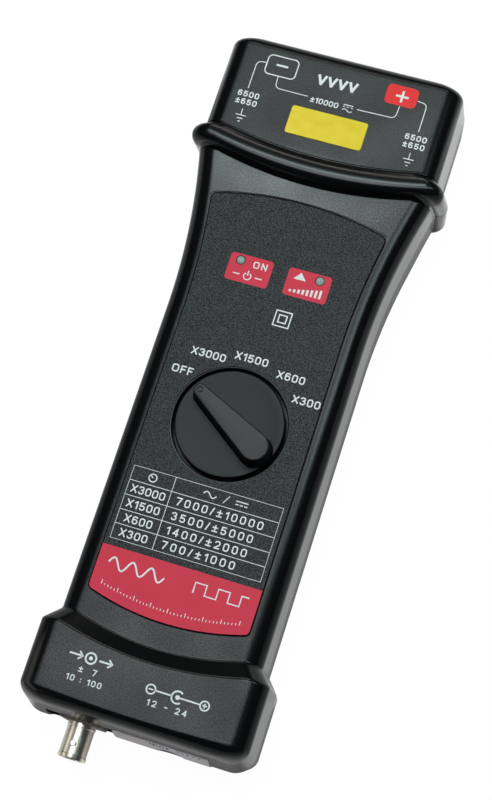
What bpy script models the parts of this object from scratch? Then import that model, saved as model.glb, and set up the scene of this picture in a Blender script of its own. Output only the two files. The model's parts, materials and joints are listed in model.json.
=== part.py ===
"""Handheld high-voltage differential probe: the body, its range switch, its jacks and what is inside.

The probe lies on its back. +Z points out of its front face, +Y towards the input end, +X to the
right of the dial. The origin is under the middle of the overall box, on the surface it lies on.
All lengths are in metres, written as millimetres times MM.
"""

import math

import bmesh
import bpy
from mathutils import Matrix, Vector

MM = 0.001

# Overall sizes of the body, at the line where the two shells meet
BODY_LENGTH = 251.5 * MM
HEAD_WIDTH = 87.0 * MM
GRIP_WIDTH = 71.6 * MM
BASE_WIDTH = 81.0 * MM
GUARD_WIDTH = 94.0 * MM
GRIP_DEPTH = 38.0 * MM
PARTING_Z = 19.0 * MM

# Raised parts of the front face, above the grip's face
HEAD_RISE = 2.5 * MM
BASE_RISE = 4.0 * MM
GUARD_RISE = 4.5 * MM

# Lengths along the body
HEAD_LENGTH = 43.8 * MM  # input end to the middle of the guard ring
BASE_LENGTH = 28.7 * MM  # output end to the top edge of the base block
BASE_SLOPE = 5.3 * MM
GUARD_BAND = 8.5 * MM
GUARD_SIDE_BAND = 6.8 * MM
GUARD_LEAN = 2.8 * MM  # towards the input end, from the face down to the parting line
GUARD_LEAN_REACH = 20.0 * MM
FLARE_RADIUS = 231.0 * MM
FLARE_START = 63.0 * MM  # below the guard ring
ARC_SAG = 4.5 * MM  # how far the arcs across the face sag in the middle

# Edges, walls and fits
FRONT_EDGE = 7.0 * MM
REAR_EDGE = 5.0 * MM
CORNER = 7.5 * MM
SIDE_DRAFT = math.tan(math.radians(3.0))
END_DRAFT = math.tan(math.radians(7.0))
WALL = 2.5 * MM
GAP = 0.3 * MM
SPLIT = 0.3 * MM  # gap between the two shells
OVERLAP = 1.0 * MM  # how far a boss is let into the wall it grows from

# Range switch, on the knob's axis
KNOB_FROM_GUARD = 99.0 * MM
KNOB_DIAMETER = 37.5 * MM
KNOB_CLEARANCE = 0.95 * MM
KNOB_PROUD = 0.4 * MM  # above the grip's face
KNOB_SKIN = 2.2 * MM
KNOB_SKIRT = 1.8 * MM
KNOB_HUB_RADIUS = 5.0 * MM
POINTER_HEIGHT = 7.5 * MM
POINTER_TIP_RADIUS = 2.3 * MM
POINTER_TAIL_RADIUS = 5.0 * MM
POINTER_TIP_MARGIN = 2.75 * MM  # from the pointer's ends to the disc's rim
POINTER_TAIL_MARGIN = 0.65 * MM
POINTER_DRAFT = 0.7 * MM
OFF_ANGLE = math.radians(60.0)  # from +Y towards -X
CUP_DEPTH = 7.0 * MM
CUP_WALL = 2.0 * MM
SHAFT_RADIUS = 3.0 * MM
SHAFT_PROUD = 2.2 * MM  # above the grip's face, inside the pointer
BUSH_RADIUS = 4.5 * MM
BUSH_HEIGHT = 3.3 * MM  # above the cup's floor
NUT_HEIGHT = 2.2 * MM
NUT_ACROSS = 12.0 * MM
WASHER_THICKNESS = 0.4 * MM
WASHER_RADIUS = 6.6 * MM
SWITCH_SIDE = 32.0 * MM
SWITCH_ROOF = 1.6 * MM
ROTOR_RADIUS = 9.5 * MM
ROTOR_THICKNESS = 3.0 * MM
ROTOR_NOTCH = 0.6 * MM
DETENTS = 12
BALL_RADIUS = 1.5 * MM
SPRING_WIRE = 0.15 * MM
SPRING_TURNS = 2

# Boards
BOARD = 1.6 * MM
MAIN_BOARD_RISE = 1.4 * MM  # above the parting line
MAIN_BOARD_WIDTH = 58.0 * MM
BOARD_TONGUE_WIDTH = 33.0 * MM
DIVIDER_BOARD_DROP = 6.2 * MM  # below the parting line
BOARD_PAST_SCREW = 4.0 * MM
BOARD_AFTER_BATTERY = 2.0 * MM
LAMP_MARGIN = 6.0 * MM
CAN_LENGTH = 22.0 * MM
CAN_HEIGHT = 6.0 * MM
CAN_SHEET = 0.4 * MM
CAN_AFTER_SWITCH = 5.0 * MM
CHIP = (10.0 * MM, 6.0 * MM, 1.6 * MM)
CONVERTER = (16.0 * MM, 12.0 * MM, 8.0 * MM)
CONVERTER_X = 4.0 * MM

# Input jacks
JACK_SPACING = 44.2 * MM
JACK_RADIUS = 6.5 * MM
JACK_BORE = 4.3 * MM
JACK_LENGTH = 34.0 * MM
JACK_BORE_DEPTH = 30.0 * MM
JACK_COLLAR = 2.0 * MM  # how far the collar stands out of the shroud
CONTACT_RADIUS = 2.5 * MM
CONTACT_BORE = 2.0 * MM
CONTACT_SETBACK = 12.0 * MM
CONTACT_TAIL = 1.0 * MM
CONTACT_TAIL_LENGTH = 3.0 * MM

# High-voltage resistors, two in line behind each jack
RESISTOR_RADIUS = 3.5 * MM
RESISTOR_LENGTH = 23.0 * MM
RESISTOR_LEAD = 2.0 * MM
RESISTOR_LEAD_RADIUS = 0.5 * MM

# Output jack
BNC_X = -18.6 * MM
BNC_REACH = 11.8 * MM  # how far the barrel stands out of the end wall
BNC_RADIUS = 4.85 * MM
BNC_BORE = 4.1 * MM
BNC_HOUSING = 14.6 * MM
BNC_HOUSING_DEPTH = 17.0 * MM
BNC_WINDOW_LEFT = 12.0 * MM  # opening in the end wall, either side of the barrel
BNC_WINDOW_RIGHT = 11.4 * MM
BNC_WINDOW_HEIGHT = 17.0 * MM
BNC_STUB = 8.0 * MM
LUG_RADIUS = 1.0 * MM
LUG_RISE = 0.65 * MM
LUG_FROM_TIP = 5.2 * MM
INSULATOR_RADIUS = 2.4 * MM
INSULATOR_BORE = 1.1 * MM
PIN_RADIUS = 0.68 * MM

# Supply jack
SUPPLY_X = 12.8 * MM
SUPPLY_HOLE = 4.6 * MM
SUPPLY_BLOCK = (9.0 * MM, 14.0 * MM, 11.0 * MM)
SUPPLY_BORE = 3.1 * MM
SUPPLY_BORE_DEPTH = 9.5 * MM
SUPPLY_PIN = 1.0 * MM

# Battery, its box and its door
BATTERY = (48.5 * MM, 26.5 * MM, 17.5 * MM)
BATTERY_FROM_OUTPUT = 33.0 * MM
BATTERY_SLACK = 0.5 * MM
BATTERY_RIGHT = 27.0 * MM
CARRIER = 1.6 * MM
STUD_HEIGHT = 3.0 * MM
BOX_WALL = 1.6 * MM
DOOR_LENGTH = 66.0 * MM
DOOR_WIDTH = 55.0 * MM
DOOR_THICKNESS = 2.4 * MM
DOOR_SET_IN = 0.4 * MM
DOOR_TONGUE = 1.7 * MM
DOOR_LIP = 1.2 * MM
DOOR_GROOVES = 5
DOOR_GROOVE_PITCH = 2.6 * MM
DOOR_GROOVE_HALF = 8.0 * MM
FLOOR = 2.3 * MM
FLOOR_MARGIN = 2.0 * MM  # floor beyond the door's tongues and its inner end

# Labels
OVERLAY_TOP_GAP = 20.6 * MM  # guard ring to the overlay's top corners
OVERLAY_BOTTOM_GAP = 13.7 * MM  # base block to the overlay's bottom corners
OVERLAY_MARGIN = 7.5 * MM  # inside the body's edge
OVERLAY_THICKNESS = 0.35 * MM
OVERLAY_RECESS = 0.5 * MM
STICKER = (27.8 * MM, 10.7 * MM, 0.25 * MM)
STICKER_FROM_GUARD = 12.3 * MM
END_LABEL_LEFT = -6.6 * MM
END_LABEL_RIGHT = 26.6 * MM
END_LABEL_TOP = 10.0 * MM  # above the parting line
END_LABEL_THICKNESS = 0.3 * MM

# Lamps
LED_SPACING = 28.6 * MM
LED_FROM_GUARD = 42.0 * MM
LED_RADIUS = 1.5 * MM
LED_PROUD = 0.9 * MM
LED_BODY = 5.0 * MM
SPACER_RADIUS = 2.4 * MM
SPACER_BORE = 0.9 * MM

# Screws
SCREW_RADIUS = 1.5 * MM
SCREW_HEAD_RADIUS = 2.8 * MM
SCREW_HEAD = 2.0 * MM
SCREW_LENGTH = 18.0 * MM
SCREW_SEAT_DROP = 7.0 * MM  # below the parting line
CASE_BOSS = 3.9 * MM
CASE_SCREW_INSET = 7.2 * MM  # from the body's side to the middle of the screw
SMALL_SCREW_RADIUS = 1.1 * MM
SMALL_HEAD_RADIUS = 2.2 * MM
SMALL_HEAD = 1.5 * MM
SMALL_SCREW_LENGTH = 8.0 * MM
SMALL_BOSS = 2.8 * MM

# Places worked out from the sizes above
OUT_Y = -(BODY_LENGTH + BNC_REACH) / 2 + BNC_REACH
IN_Y = OUT_Y + BODY_LENGTH
GUARD_Y = IN_Y - HEAD_LENGTH
BASE_Y = OUT_Y + BASE_LENGTH
GRIP_Y = BASE_Y + BASE_SLOPE
FLARE_Y = GUARD_Y - FLARE_START
KNOB_Y = GUARD_Y - KNOB_FROM_GUARD
LED_Y = GUARD_Y - LED_FROM_GUARD
HEAD_DEPTH = GRIP_DEPTH + HEAD_RISE
BASE_DEPTH = GRIP_DEPTH + BASE_RISE
KNOB_TOP = GRIP_DEPTH + KNOB_PROUD
CUP_RADIUS = KNOB_DIAMETER / 2 + KNOB_CLEARANCE
CUP_FLOOR_Z = GRIP_DEPTH - CUP_DEPTH
BUSH_TOP = CUP_FLOOR_Z + BUSH_HEIGHT
SHAFT_TOP = GRIP_DEPTH + SHAFT_PROUD
POINTER_TIP_AT = KNOB_DIAMETER / 2 - POINTER_TIP_RADIUS - POINTER_TIP_MARGIN
POINTER_TAIL_AT = KNOB_DIAMETER / 2 - POINTER_TAIL_RADIUS - POINTER_TAIL_MARGIN
SCREW_SEAT_Z = PARTING_Z - SCREW_SEAT_DROP
MAIN_BOARD_Z = PARTING_Z + MAIN_BOARD_RISE
MAIN_BOARD_TOP = MAIN_BOARD_Z + BOARD
DIVIDER_BOARD_Z = PARTING_Z - DIVIDER_BOARD_DROP
OUTPUT_BOARD_Z = PARTING_Z - BNC_HOUSING / 2 - GAP - BOARD
DOOR_TOP = DOOR_SET_IN + DOOR_THICKNESS
FLOOR_Z = DOOR_TOP + GAP
FLOOR_TOP = FLOOR_Z + FLOOR
BATTERY_Y0 = OUT_Y + BATTERY_FROM_OUTPUT
BATTERY_Y1 = BATTERY_Y0 + BATTERY[1] + 2 * BATTERY_SLACK
BATTERY_TOP = DOOR_TOP + 2 * GAP + BATTERY[2]
BATTERY_LEFT = BATTERY_RIGHT - BATTERY[0] - BATTERY_SLACK - STUD_HEIGHT - GAP - CARRIER
BOX_ROOF = BATTERY_TOP + GAP + BOX_WALL
JACK_X = JACK_SPACING / 2
CONTACT_BACK = IN_Y - JACK_LENGTH - CONTACT_TAIL_LENGTH
RESISTOR_STEP = RESISTOR_LENGTH + 2 * RESISTOR_LEAD + GAP
RESISTORS_Y0 = CONTACT_BACK - 2 * RESISTOR_STEP
MAIN_BOARD_Y0 = BATTERY_Y1 + BOX_WALL + BOARD_AFTER_BATTERY
MAIN_BOARD_Y1 = RESISTORS_Y0
TONGUE_Y1 = LED_Y + LAMP_MARGIN
OUTPUT_BOARD_TOP = OUTPUT_BOARD_Z + BOARD
DOOR_Y0 = OUT_Y + END_DRAFT * (PARTING_Z - DOOR_TOP)  # flush with the drafted end wall
DOOR_Y1 = OUT_Y + DOOR_LENGTH
ABOVE_ALL = 60.0 * MM  # where cutters that leave through the front end
BELOW_ALL = -10.0 * MM  # where cutters that leave through the rear end


def clear_scene():
    for old in list(bpy.data.objects):
        bpy.data.objects.remove(old, do_unlink=True)


def material(name, colour, roughness, metallic=0.0):
    made = bpy.data.materials.new(name)
    made.use_nodes = True
    shader = made.node_tree.nodes["Principled BSDF"]
    shader.inputs["Base Color"].default_value = (*colour, 1.0)
    shader.inputs["Roughness"].default_value = roughness
    shader.inputs["Metallic"].default_value = metallic
    return made


def add_object(name, bm, finish=None, place=(0, 0, 0), turn=(0, 0, 0), parent=None):
    """Makes the object of a bmesh, its faces pointing out and its round parts smooth."""
    bmesh.ops.recalc_face_normals(bm, faces=bm.faces)
    mesh = bpy.data.meshes.new(name)
    bm.to_mesh(mesh)
    bm.free()
    mesh.shade_smooth()
    mesh.set_sharp_from_angle(angle=math.radians(35))
    made = bpy.data.objects.new(name, mesh)
    made.location = place
    made.rotation_euler = turn
    made.parent = parent
    if finish:
        mesh.materials.append(finish)
    bpy.context.scene.collection.objects.link(made)
    return made


def helper(made):
    """Marks an object as a guide for a Boolean, which is no piece of its own."""
    made.hide_render = True
    made.display_type = "WIRE"
    return made


def boolean(target, other, operation):
    step = target.modifiers.new(other.name, "BOOLEAN")
    step.operation = operation
    step.object = helper(other)


def join(target, *others):
    for other in others:
        boolean(target, other, "UNION")


def cut(target, *others):
    for other in others:
        boolean(target, other, "DIFFERENCE")


def box_mesh(low, high):
    bm = bmesh.new()
    middle = (Vector(low) + Vector(high)) / 2
    size = Vector(high) - Vector(low)
    matrix = Matrix.Translation(middle) @ Matrix.Diagonal((*size, 1.0))
    bmesh.ops.create_cube(bm, size=1.0, matrix=matrix)
    return bm


def box(name, low, high, finish=None, parent=None):
    return add_object(name, box_mesh(low, high), finish, parent=parent)


def prism_mesh(outline, z0, z1):
    """Extrudes a flat outline of (x, y) points from z0 up to z1."""
    bm = bmesh.new()
    face = bm.faces.new([bm.verts.new((x, y, z0)) for x, y in outline])
    grown = bmesh.ops.extrude_face_region(bm, geom=[face])["geom"]
    bmesh.ops.translate(
        bm,
        vec=(0, 0, z1 - z0),
        verts=[item for item in grown if isinstance(item, bmesh.types.BMVert)],
    )
    return bm


def lathe_mesh(profile, sides, closed=False):
    """Spins a profile of (radius, height) points about Z. An open profile starts and ends on the axis."""
    bm = bmesh.new()
    points = [bm.verts.new((radius, 0, height)) for radius, height in profile]
    edges = [bm.edges.new(pair) for pair in zip(points, points[1:])]
    if closed:
        edges.append(bm.edges.new((points[-1], points[0])))
    bmesh.ops.spin(
        bm,
        geom=points + edges,
        cent=(0, 0, 0),
        axis=(0, 0, 1),
        angle=2 * math.pi,
        steps=sides,
        use_duplicate=False,
    )
    bmesh.ops.remove_doubles(bm, verts=bm.verts, dist=1e-6)
    return bm


ALONG_Y = (-math.pi / 2, 0, 0)  # turns a lathe's +Z to +Y
AGAINST_Y = (math.pi / 2, 0, 0)


def cylinder(name, radius, z0, z1, x=0, y=0, sides=24, finish=None):
    """A round bar or cutter, upright at (x, y)."""
    profile = [(0, z0), (radius, z0), (radius, z1), (0, z1)]
    return add_object(name, lathe_mesh(profile, sides), finish, place=(x, y, 0))


def cross_cylinder(name, radius, y0, y1, x, z, sides=24):
    """A round cutter lying along Y."""
    profile = [(0, y0), (radius, y0), (radius, y1), (0, y1)]
    return add_object(name, lathe_mesh(profile, sides), place=(x, 0, z), turn=ALONG_Y)


def arc(centre, radius, start, end, count):
    """Points on an arc, angles in degrees, both ends included."""
    steps = [start + (end - start) * index / count for index in range(count + 1)]
    return [
        (
            centre[0] + radius * math.cos(math.radians(angle)),
            centre[1] + radius * math.sin(math.radians(angle)),
        )
        for angle in steps
    ]


# The body's outer form. Every section across the body is one row of points, from the parting
# line up one side, over the rounded edge, across the face and down the other side.

WALL_STEPS = 1
EDGE_STEPS = 3
FACE_STEPS = 6


def corner_loss(distance, radius):
    """How far a rounded corner has drawn in at this distance from the end."""
    if distance >= radius:
        return 0.0
    return radius - math.sqrt(max(radius**2 - (radius - distance) ** 2, 0.0))


def guard_bump(y, band):
    """Rise of the guard ring's round section, from 0 at its feet to 1 at its crest."""
    off = (y - GUARD_Y) / (band / 2)
    return math.sqrt(1 - off**2) if abs(off) < 1 else 0.0


def guard_lean(y):
    """How far the side walls near the guard ring are shifted along the body at the parting line."""
    off = (y - GUARD_Y) / GUARD_LEAN_REACH
    return GUARD_LEAN * (1 - off**2) ** 2 if abs(off) < 1 else 0.0


def flare_half(y):
    return GRIP_WIDTH / 2 + max(y - FLARE_Y, 0.0) ** 2 / (2 * FLARE_RADIUS)


def half_width(y, inset, guard):
    """Half of the body's width at the parting line."""
    if y < BASE_Y:
        half = BASE_WIDTH / 2
    elif y < GRIP_Y:
        share = (y - BASE_Y) / BASE_SLOPE
        half = BASE_WIDTH / 2 + (GRIP_WIDTH - BASE_WIDTH) / 2 * share
    elif y < GUARD_Y:
        half = flare_half(y)
    else:
        half = HEAD_WIDTH / 2
    if guard:
        half += (GUARD_WIDTH / 2 - half) * guard_bump(y, GUARD_SIDE_BAND)
    end = min(y - OUT_Y - inset, IN_Y - inset - y)
    return half - inset - corner_loss(max(end, 0.0), CORNER - inset / 2)


def face_height(y, inset, guard):
    """Height of the front face above the parting line."""
    if y < BASE_Y:
        face = BASE_DEPTH
    elif y < GRIP_Y:
        face = BASE_DEPTH - BASE_RISE * (y - BASE_Y) / BASE_SLOPE
    elif y < GUARD_Y:
        face = GRIP_DEPTH
    else:
        face = HEAD_DEPTH
    if guard:
        face += (GRIP_DEPTH + GUARD_RISE - face) * guard_bump(y, GUARD_BAND)
    return face - PARTING_Z - inset


def sag(y):
    """How far the middle of the face lags behind its sides, along the body."""
    if y > GUARD_Y:
        return ARC_SAG * (IN_Y - y) / (IN_Y - GUARD_Y)
    if y < BASE_Y:
        return ARC_SAG * (y - OUT_Y) / (BASE_Y - OUT_Y)
    return ARC_SAG


def section_rows(inset, guard):
    """Where the sections across the body stand, as measured along its sides."""
    low = OUT_Y + inset
    high = IN_Y - inset
    corner = CORNER - inset / 2
    ends = [corner * (1 - math.cos(math.radians(angle))) for angle in (0, 25, 45, 65, 90)]
    rows = [low + step for step in ends] + [BASE_Y, GRIP_Y, FLARE_Y]
    flare_end = GUARD_Y - GUARD_BAND / 2
    rows += [FLARE_Y + (flare_end - FLARE_Y) * share for share in (0.3, 0.55, 0.8)]
    if guard:
        crest = [math.cos(math.radians(angle)) for angle in range(180, -1, -30)]
        rows += [GUARD_Y + GUARD_BAND / 2 * step for step in crest]
    else:
        rows += [flare_end, GUARD_Y + GUARD_BAND / 2]
    return rows + [high - step for step in reversed(ends)]


def section(y, side, inset, guard):
    """One row of (x, y, z) points. side is +1 for the front shell and -1 for the rear one."""
    edge = max((FRONT_EDGE if side > 0 else REAR_EDGE) - inset, 1.0 * MM)
    top = face_height(y, inset, guard) if side > 0 else PARTING_Z - inset
    end = min(y - OUT_Y - inset, IN_Y - inset - y)
    top -= corner_loss(max(end, 0.0), edge)
    half = half_width(y, inset, guard)
    shoulder = top - edge
    profile = [(half, SPLIT / 2)]
    for angle in range(0, 91, 90 // EDGE_STEPS):
        turn = math.radians(angle)
        out = half - SIDE_DRAFT * shoulder - edge + edge * math.cos(turn)
        profile.append((out, shoulder + edge * math.sin(turn)))
    face = profile[-1][0]
    fade = max(1 - max(end, 0.0) / CORNER, 0.0)
    towards = 1 if y > 0 else -1
    lean = guard_lean(y)
    right = []
    for out, up in profile:
        shift = lean * max(1 - up / shoulder, 0.0) if side > 0 else lean
        right.append((out, y + shift - towards * END_DRAFT * fade * up, PARTING_Z + side * up))
    across = []
    for step in range(1, FACE_STEPS):
        share = 1 - 2 * step / FACE_STEPS
        drop = sag(y) * (1 - share**2) if side > 0 else 0.0
        back = towards * END_DRAFT * fade * top
        shift = 0.0 if side > 0 else lean
        across.append((face * share, y + shift - drop - back, PARTING_Z + side * top))
    left = [(-x, along, z) for x, along, z in reversed(right)]
    return right + across + left


def body_mesh(side, inset, guard):
    """The solid form of one half of the body, cut flat at the parting line."""
    bm = bmesh.new()
    rows = [
        [bm.verts.new(point) for point in section(y, side, inset, guard)]
        for y in section_rows(inset, guard)
    ]
    for one, two in zip(rows, rows[1:]):
        for index in range(len(one) - 1):
            bm.faces.new((one[index], one[index + 1], two[index + 1], two[index]))
        bm.faces.new((one[-1], one[0], two[0], two[-1]))
    bm.faces.new(rows[0])
    bm.faces.new(rows[-1])
    return bm


def screw_places():
    """Where the four case screws stand, by name."""
    head_x = HEAD_WIDTH / 2 - CASE_SCREW_INSET
    base_x = BASE_WIDTH / 2 - CASE_SCREW_INSET
    head_y = IN_Y - 22.0 * MM
    base_y = OUT_Y + 14.0 * MM
    return {
        "head_left": (-head_x, head_y),
        "head_right": (head_x, head_y),
        "base_left": (-base_x, base_y),
        "base_right": (base_x, base_y),
    }


def board_screw_places():
    """Where the main board's screws stand."""
    x = MAIN_BOARD_WIDTH / 2 - BOARD_PAST_SCREW
    low = MAIN_BOARD_Y0 + BOARD_PAST_SCREW
    high = MAIN_BOARD_Y1 - BOARD_PAST_SCREW
    return [(-x, low), (x, low), (-x, high), (x, high)]


def divider_screw_places():
    """Where the divider board's screws stand, between the resistor rows."""
    middle = CONTACT_BACK - RESISTOR_LENGTH - RESISTOR_LEAD
    return [(0.0, middle + 18.0 * MM), (0.0, middle - 12.0 * MM)]


def end_cutters(shell):
    """Openings in the end walls, which both shells share half and half."""
    for side, sign in (("minus", -1), ("plus", 1)):
        hole = cross_cylinder(
            f"cut_{shell.name}_{side}",
            JACK_RADIUS + GAP,
            IN_Y - 8 * MM,
            IN_Y + 2 * MM,
            sign * JACK_X,
            PARTING_Z,
        )
        cut(shell, hole)
    window = box(
        f"cut_{shell.name}_window",
        (BNC_X - BNC_WINDOW_LEFT, OUT_Y - MM, PARTING_Z - BNC_WINDOW_HEIGHT / 2),
        (BNC_X + BNC_WINDOW_RIGHT, OUT_Y + 7 * MM, PARTING_Z + BNC_WINDOW_HEIGHT / 2),
    )
    supply = cross_cylinder(
        f"cut_{shell.name}_supply", SUPPLY_HOLE, OUT_Y - MM, OUT_Y + 7 * MM, SUPPLY_X, PARTING_Z
    )
    cut(shell, window, supply)


def overlay_outline(grow):
    """The face overlay's outline, grown by a margin."""
    low = BASE_Y + OVERLAY_BOTTOM_GAP - grow
    high = GUARD_Y - OVERLAY_TOP_GAP + grow
    steps = 6
    sides = [FLARE_Y] + [FLARE_Y + (high - FLARE_Y) * (step + 1) / steps for step in range(steps)]
    right = [(flare_half(y) - OVERLAY_MARGIN + grow, y) for y in [low] + sides]
    left = [(-x, y) for x, y in reversed(right)]
    top_half = right[-1][0]
    bottom_half = right[0][0]
    shares = [1 - 2 * step / 6 for step in range(1, 6)]
    top = [(top_half * share, high + ARC_SAG * (1 - share**2)) for share in shares]
    bottom = [(-bottom_half * share, low - ARC_SAG * (1 - share**2)) for share in shares]
    return right + top + left + bottom


def front_shell(finish):
    shell = add_object("front_shell", body_mesh(1, 0.0, True), finish)
    cavity = add_object("cut_front_cavity", body_mesh(1, WALL, False))
    cavity.location.z = -SPLIT
    cut(shell, cavity)
    inner_z = GRIP_DEPTH - WALL + OVERLAP
    cup = cylinder(
        "add_cup", CUP_RADIUS + CUP_WALL, CUP_FLOOR_Z - CUP_WALL, inner_z, y=KNOB_Y, sides=48
    )
    join(shell, cup)
    for name, (x, y) in screw_places().items():
        depth = HEAD_DEPTH if y > 0 else BASE_DEPTH
        top = depth - WALL + 0.2 * OVERLAP
        join(shell, cylinder(f"add_{name}", CASE_BOSS, PARTING_Z + SPLIT / 2, top, x, y, 16))
    for index, (x, y) in enumerate(board_screw_places()):
        join(shell, cylinder(f"add_board_{index}", SMALL_BOSS, MAIN_BOARD_TOP + GAP, inner_z, x, y, 12))
    top = ABOVE_ALL
    cut(shell, cylinder("cut_cup", CUP_RADIUS, CUP_FLOOR_Z, top, y=KNOB_Y, sides=48))
    cut(shell, cylinder("cut_bush", BUSH_RADIUS + GAP, PARTING_Z, top, y=KNOB_Y, sides=16))
    for name, sign in (("power", -1), ("over_range", 1)):
        x = sign * LED_SPACING / 2
        cut(shell, cylinder(f"cut_{name}", LED_RADIUS + 2 * GAP, PARTING_Z, top, x, LED_Y, 16))
    recess = prism_mesh(overlay_outline(GAP), GRIP_DEPTH - OVERLAY_RECESS, top)
    cut(shell, add_object("cut_overlay", recess))
    for name, (x, y) in screw_places().items():
        end = SCREW_SEAT_Z - GAP + SCREW_LENGTH + MM
        cut(shell, cylinder(f"cut_{name}", SCREW_RADIUS + GAP, SCREW_SEAT_Z, end, x, y, 12))
    for index, (x, y) in enumerate(board_screw_places()):
        end = MAIN_BOARD_Z - GAP + SMALL_SCREW_LENGTH + MM
        hole = SMALL_SCREW_RADIUS + GAP
        cut(shell, cylinder(f"cut_board_{index}", hole, MAIN_BOARD_TOP, end, x, y, 8))
    end_cutters(shell)
    return shell


def rear_shell(finish):
    shell = add_object("rear_shell", body_mesh(-1, 0.0, True), finish)
    cavity = add_object("cut_rear_cavity", body_mesh(-1, WALL, False))
    cavity.location.z = SPLIT
    cut(shell, cavity)
    base_z = WALL - OVERLAP
    y0 = BATTERY_Y0 - BOX_WALL
    y1 = BATTERY_Y1 + BOX_WALL
    left = BATTERY_LEFT - BOX_WALL
    right = BATTERY_RIGHT + BOX_WALL
    join(shell, box("add_battery_box", (left, y0, base_z), (right, y1, BOX_ROOF)))
    door_half = DOOR_WIDTH / 2
    floor_half = door_half + DOOR_TONGUE + FLOOR_MARGIN
    floor_low = (-floor_half, OUT_Y + END_DRAFT * PARTING_Z + OVERLAP, base_z)
    join(shell, box("add_floor", floor_low, (floor_half, DOOR_Y1 + FLOOR_MARGIN, FLOOR_TOP)))
    for name, (x, y) in screw_places().items():
        join(shell, cylinder(f"add_rear_{name}", CASE_BOSS, base_z, PARTING_Z - SPLIT / 2, x, y, 16))
    for index, (x, y) in enumerate(divider_screw_places()):
        top = DIVIDER_BOARD_Z - GAP
        join(shell, cylinder(f"add_divider_{index}", SMALL_BOSS, base_z, top, x, y, 12))
    rib_y = OUT_Y + BATTERY_FROM_OUTPUT - BOX_WALL - 9.0 * MM
    for name, x in (("left", BNC_X), ("right", SUPPLY_X)):
        low = (x - 2 * MM, rib_y, FLOOR_TOP - OVERLAP)
        join(shell, box(f"add_rib_{name}", low, (x + 2 * MM, rib_y + 5 * MM, OUTPUT_BOARD_Z - GAP)))
    pocket_low = (BATTERY_LEFT, BATTERY_Y0, BELOW_ALL)
    cut(shell, box("cut_pocket", pocket_low, (BATTERY_RIGHT, BATTERY_Y1, BATTERY_TOP + GAP)))
    channel = door_half + GAP
    groove = door_half + DOOR_TONGUE + GAP
    far = DOOR_Y1 + GAP
    outside = OUT_Y - 5 * MM
    cut(shell, box("cut_channel", (-channel, outside, BELOW_ALL), (channel, far, FLOOR_Z)))
    groove_high = (groove, far, FLOOR_Z - 0.01 * MM)
    cut(shell, box("cut_groove", (-groove, outside, DOOR_LIP), groove_high))
    slot_low = (BATTERY_LEFT - OVERLAP, BATTERY_Y1 - MM, BATTERY_TOP - 8 * MM)
    slot_high = (BATTERY_LEFT + 8 * MM, y1 + MM, BATTERY_TOP - 2 * MM)
    cut(shell, box("cut_lead_slot", slot_low, slot_high))
    for name, (x, y) in screw_places().items():
        hole = SCREW_HEAD_RADIUS + GAP
        cut(shell, cylinder(f"cut_sink_{name}", hole, BELOW_ALL, SCREW_SEAT_Z, x, y, 16))
        hole = SCREW_RADIUS + GAP
        cut(shell, cylinder(f"cut_rear_{name}", hole, BELOW_ALL, PARTING_Z, x, y, 12))
    for index, (x, y) in enumerate(divider_screw_places()):
        hole = SMALL_SCREW_RADIUS + GAP
        low = DIVIDER_BOARD_Z - SMALL_SCREW_LENGTH
        cut(shell, cylinder(f"cut_divider_{index}", hole, low, DIVIDER_BOARD_Z, x, y, 8))
    end_cutters(shell)
    return shell


def battery_door(finish):
    """The door slides out over the output end on two tongues."""
    half = DOOR_WIDTH / 2
    plate = [
        (DOOR_Y0 + DOOR_THICKNESS, DOOR_SET_IN),
        (DOOR_Y1, DOOR_SET_IN),
        (DOOR_Y1, DOOR_TOP),
        (DOOR_Y0, DOOR_TOP),
    ]
    door = add_object("battery_door", sideways_mesh(plate, -half, half), finish)
    low = (-half - DOOR_TONGUE, OUT_Y + CORNER, DOOR_LIP + GAP)
    join(door, box("add_tongues", low, (half + DOOR_TONGUE, DOOR_Y1 - MM, DOOR_TOP - 0.05 * MM)))
    for index in range(DOOR_GROOVES):
        y = OUT_Y + CORNER + DOOR_GROOVE_PITCH * index
        groove_low = (-DOOR_GROOVE_HALF, y, -MM)
        groove_high = (DOOR_GROOVE_HALF, y + DOOR_GROOVE_PITCH / 2, DOOR_SET_IN + DOOR_THICKNESS / 4)
        cut(door, box(f"cut_grip_{index}", groove_low, groove_high))
    return door


def sideways_mesh(outline, x0, x1):
    """Extrudes an outline of (y, z) points from x0 to x1."""
    bm = bmesh.new()
    face = bm.faces.new([bm.verts.new((x0, y, z)) for y, z in outline])
    grown = bmesh.ops.extrude_face_region(bm, geom=[face])["geom"]
    moved = [item for item in grown if isinstance(item, bmesh.types.BMVert)]
    bmesh.ops.translate(bm, vec=(x1 - x0, 0, 0), verts=moved)
    return bm


def screw(name, radius, head_radius, head, length, place, finish, upside=False):
    """A pan-head screw. Its head is below its shank, unless it's put in upside down."""
    profile = [(0, 0), (head_radius, 0), (head_radius, head), (radius, head)]
    profile += [(radius, head + length - radius), (0.2 * radius, head + length), (0, head + length)]
    turn = (math.pi, 0, 0) if upside else (0, 0, 0)
    return add_object(name, lathe_mesh(profile, 12), finish, place=place, turn=turn)


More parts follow.
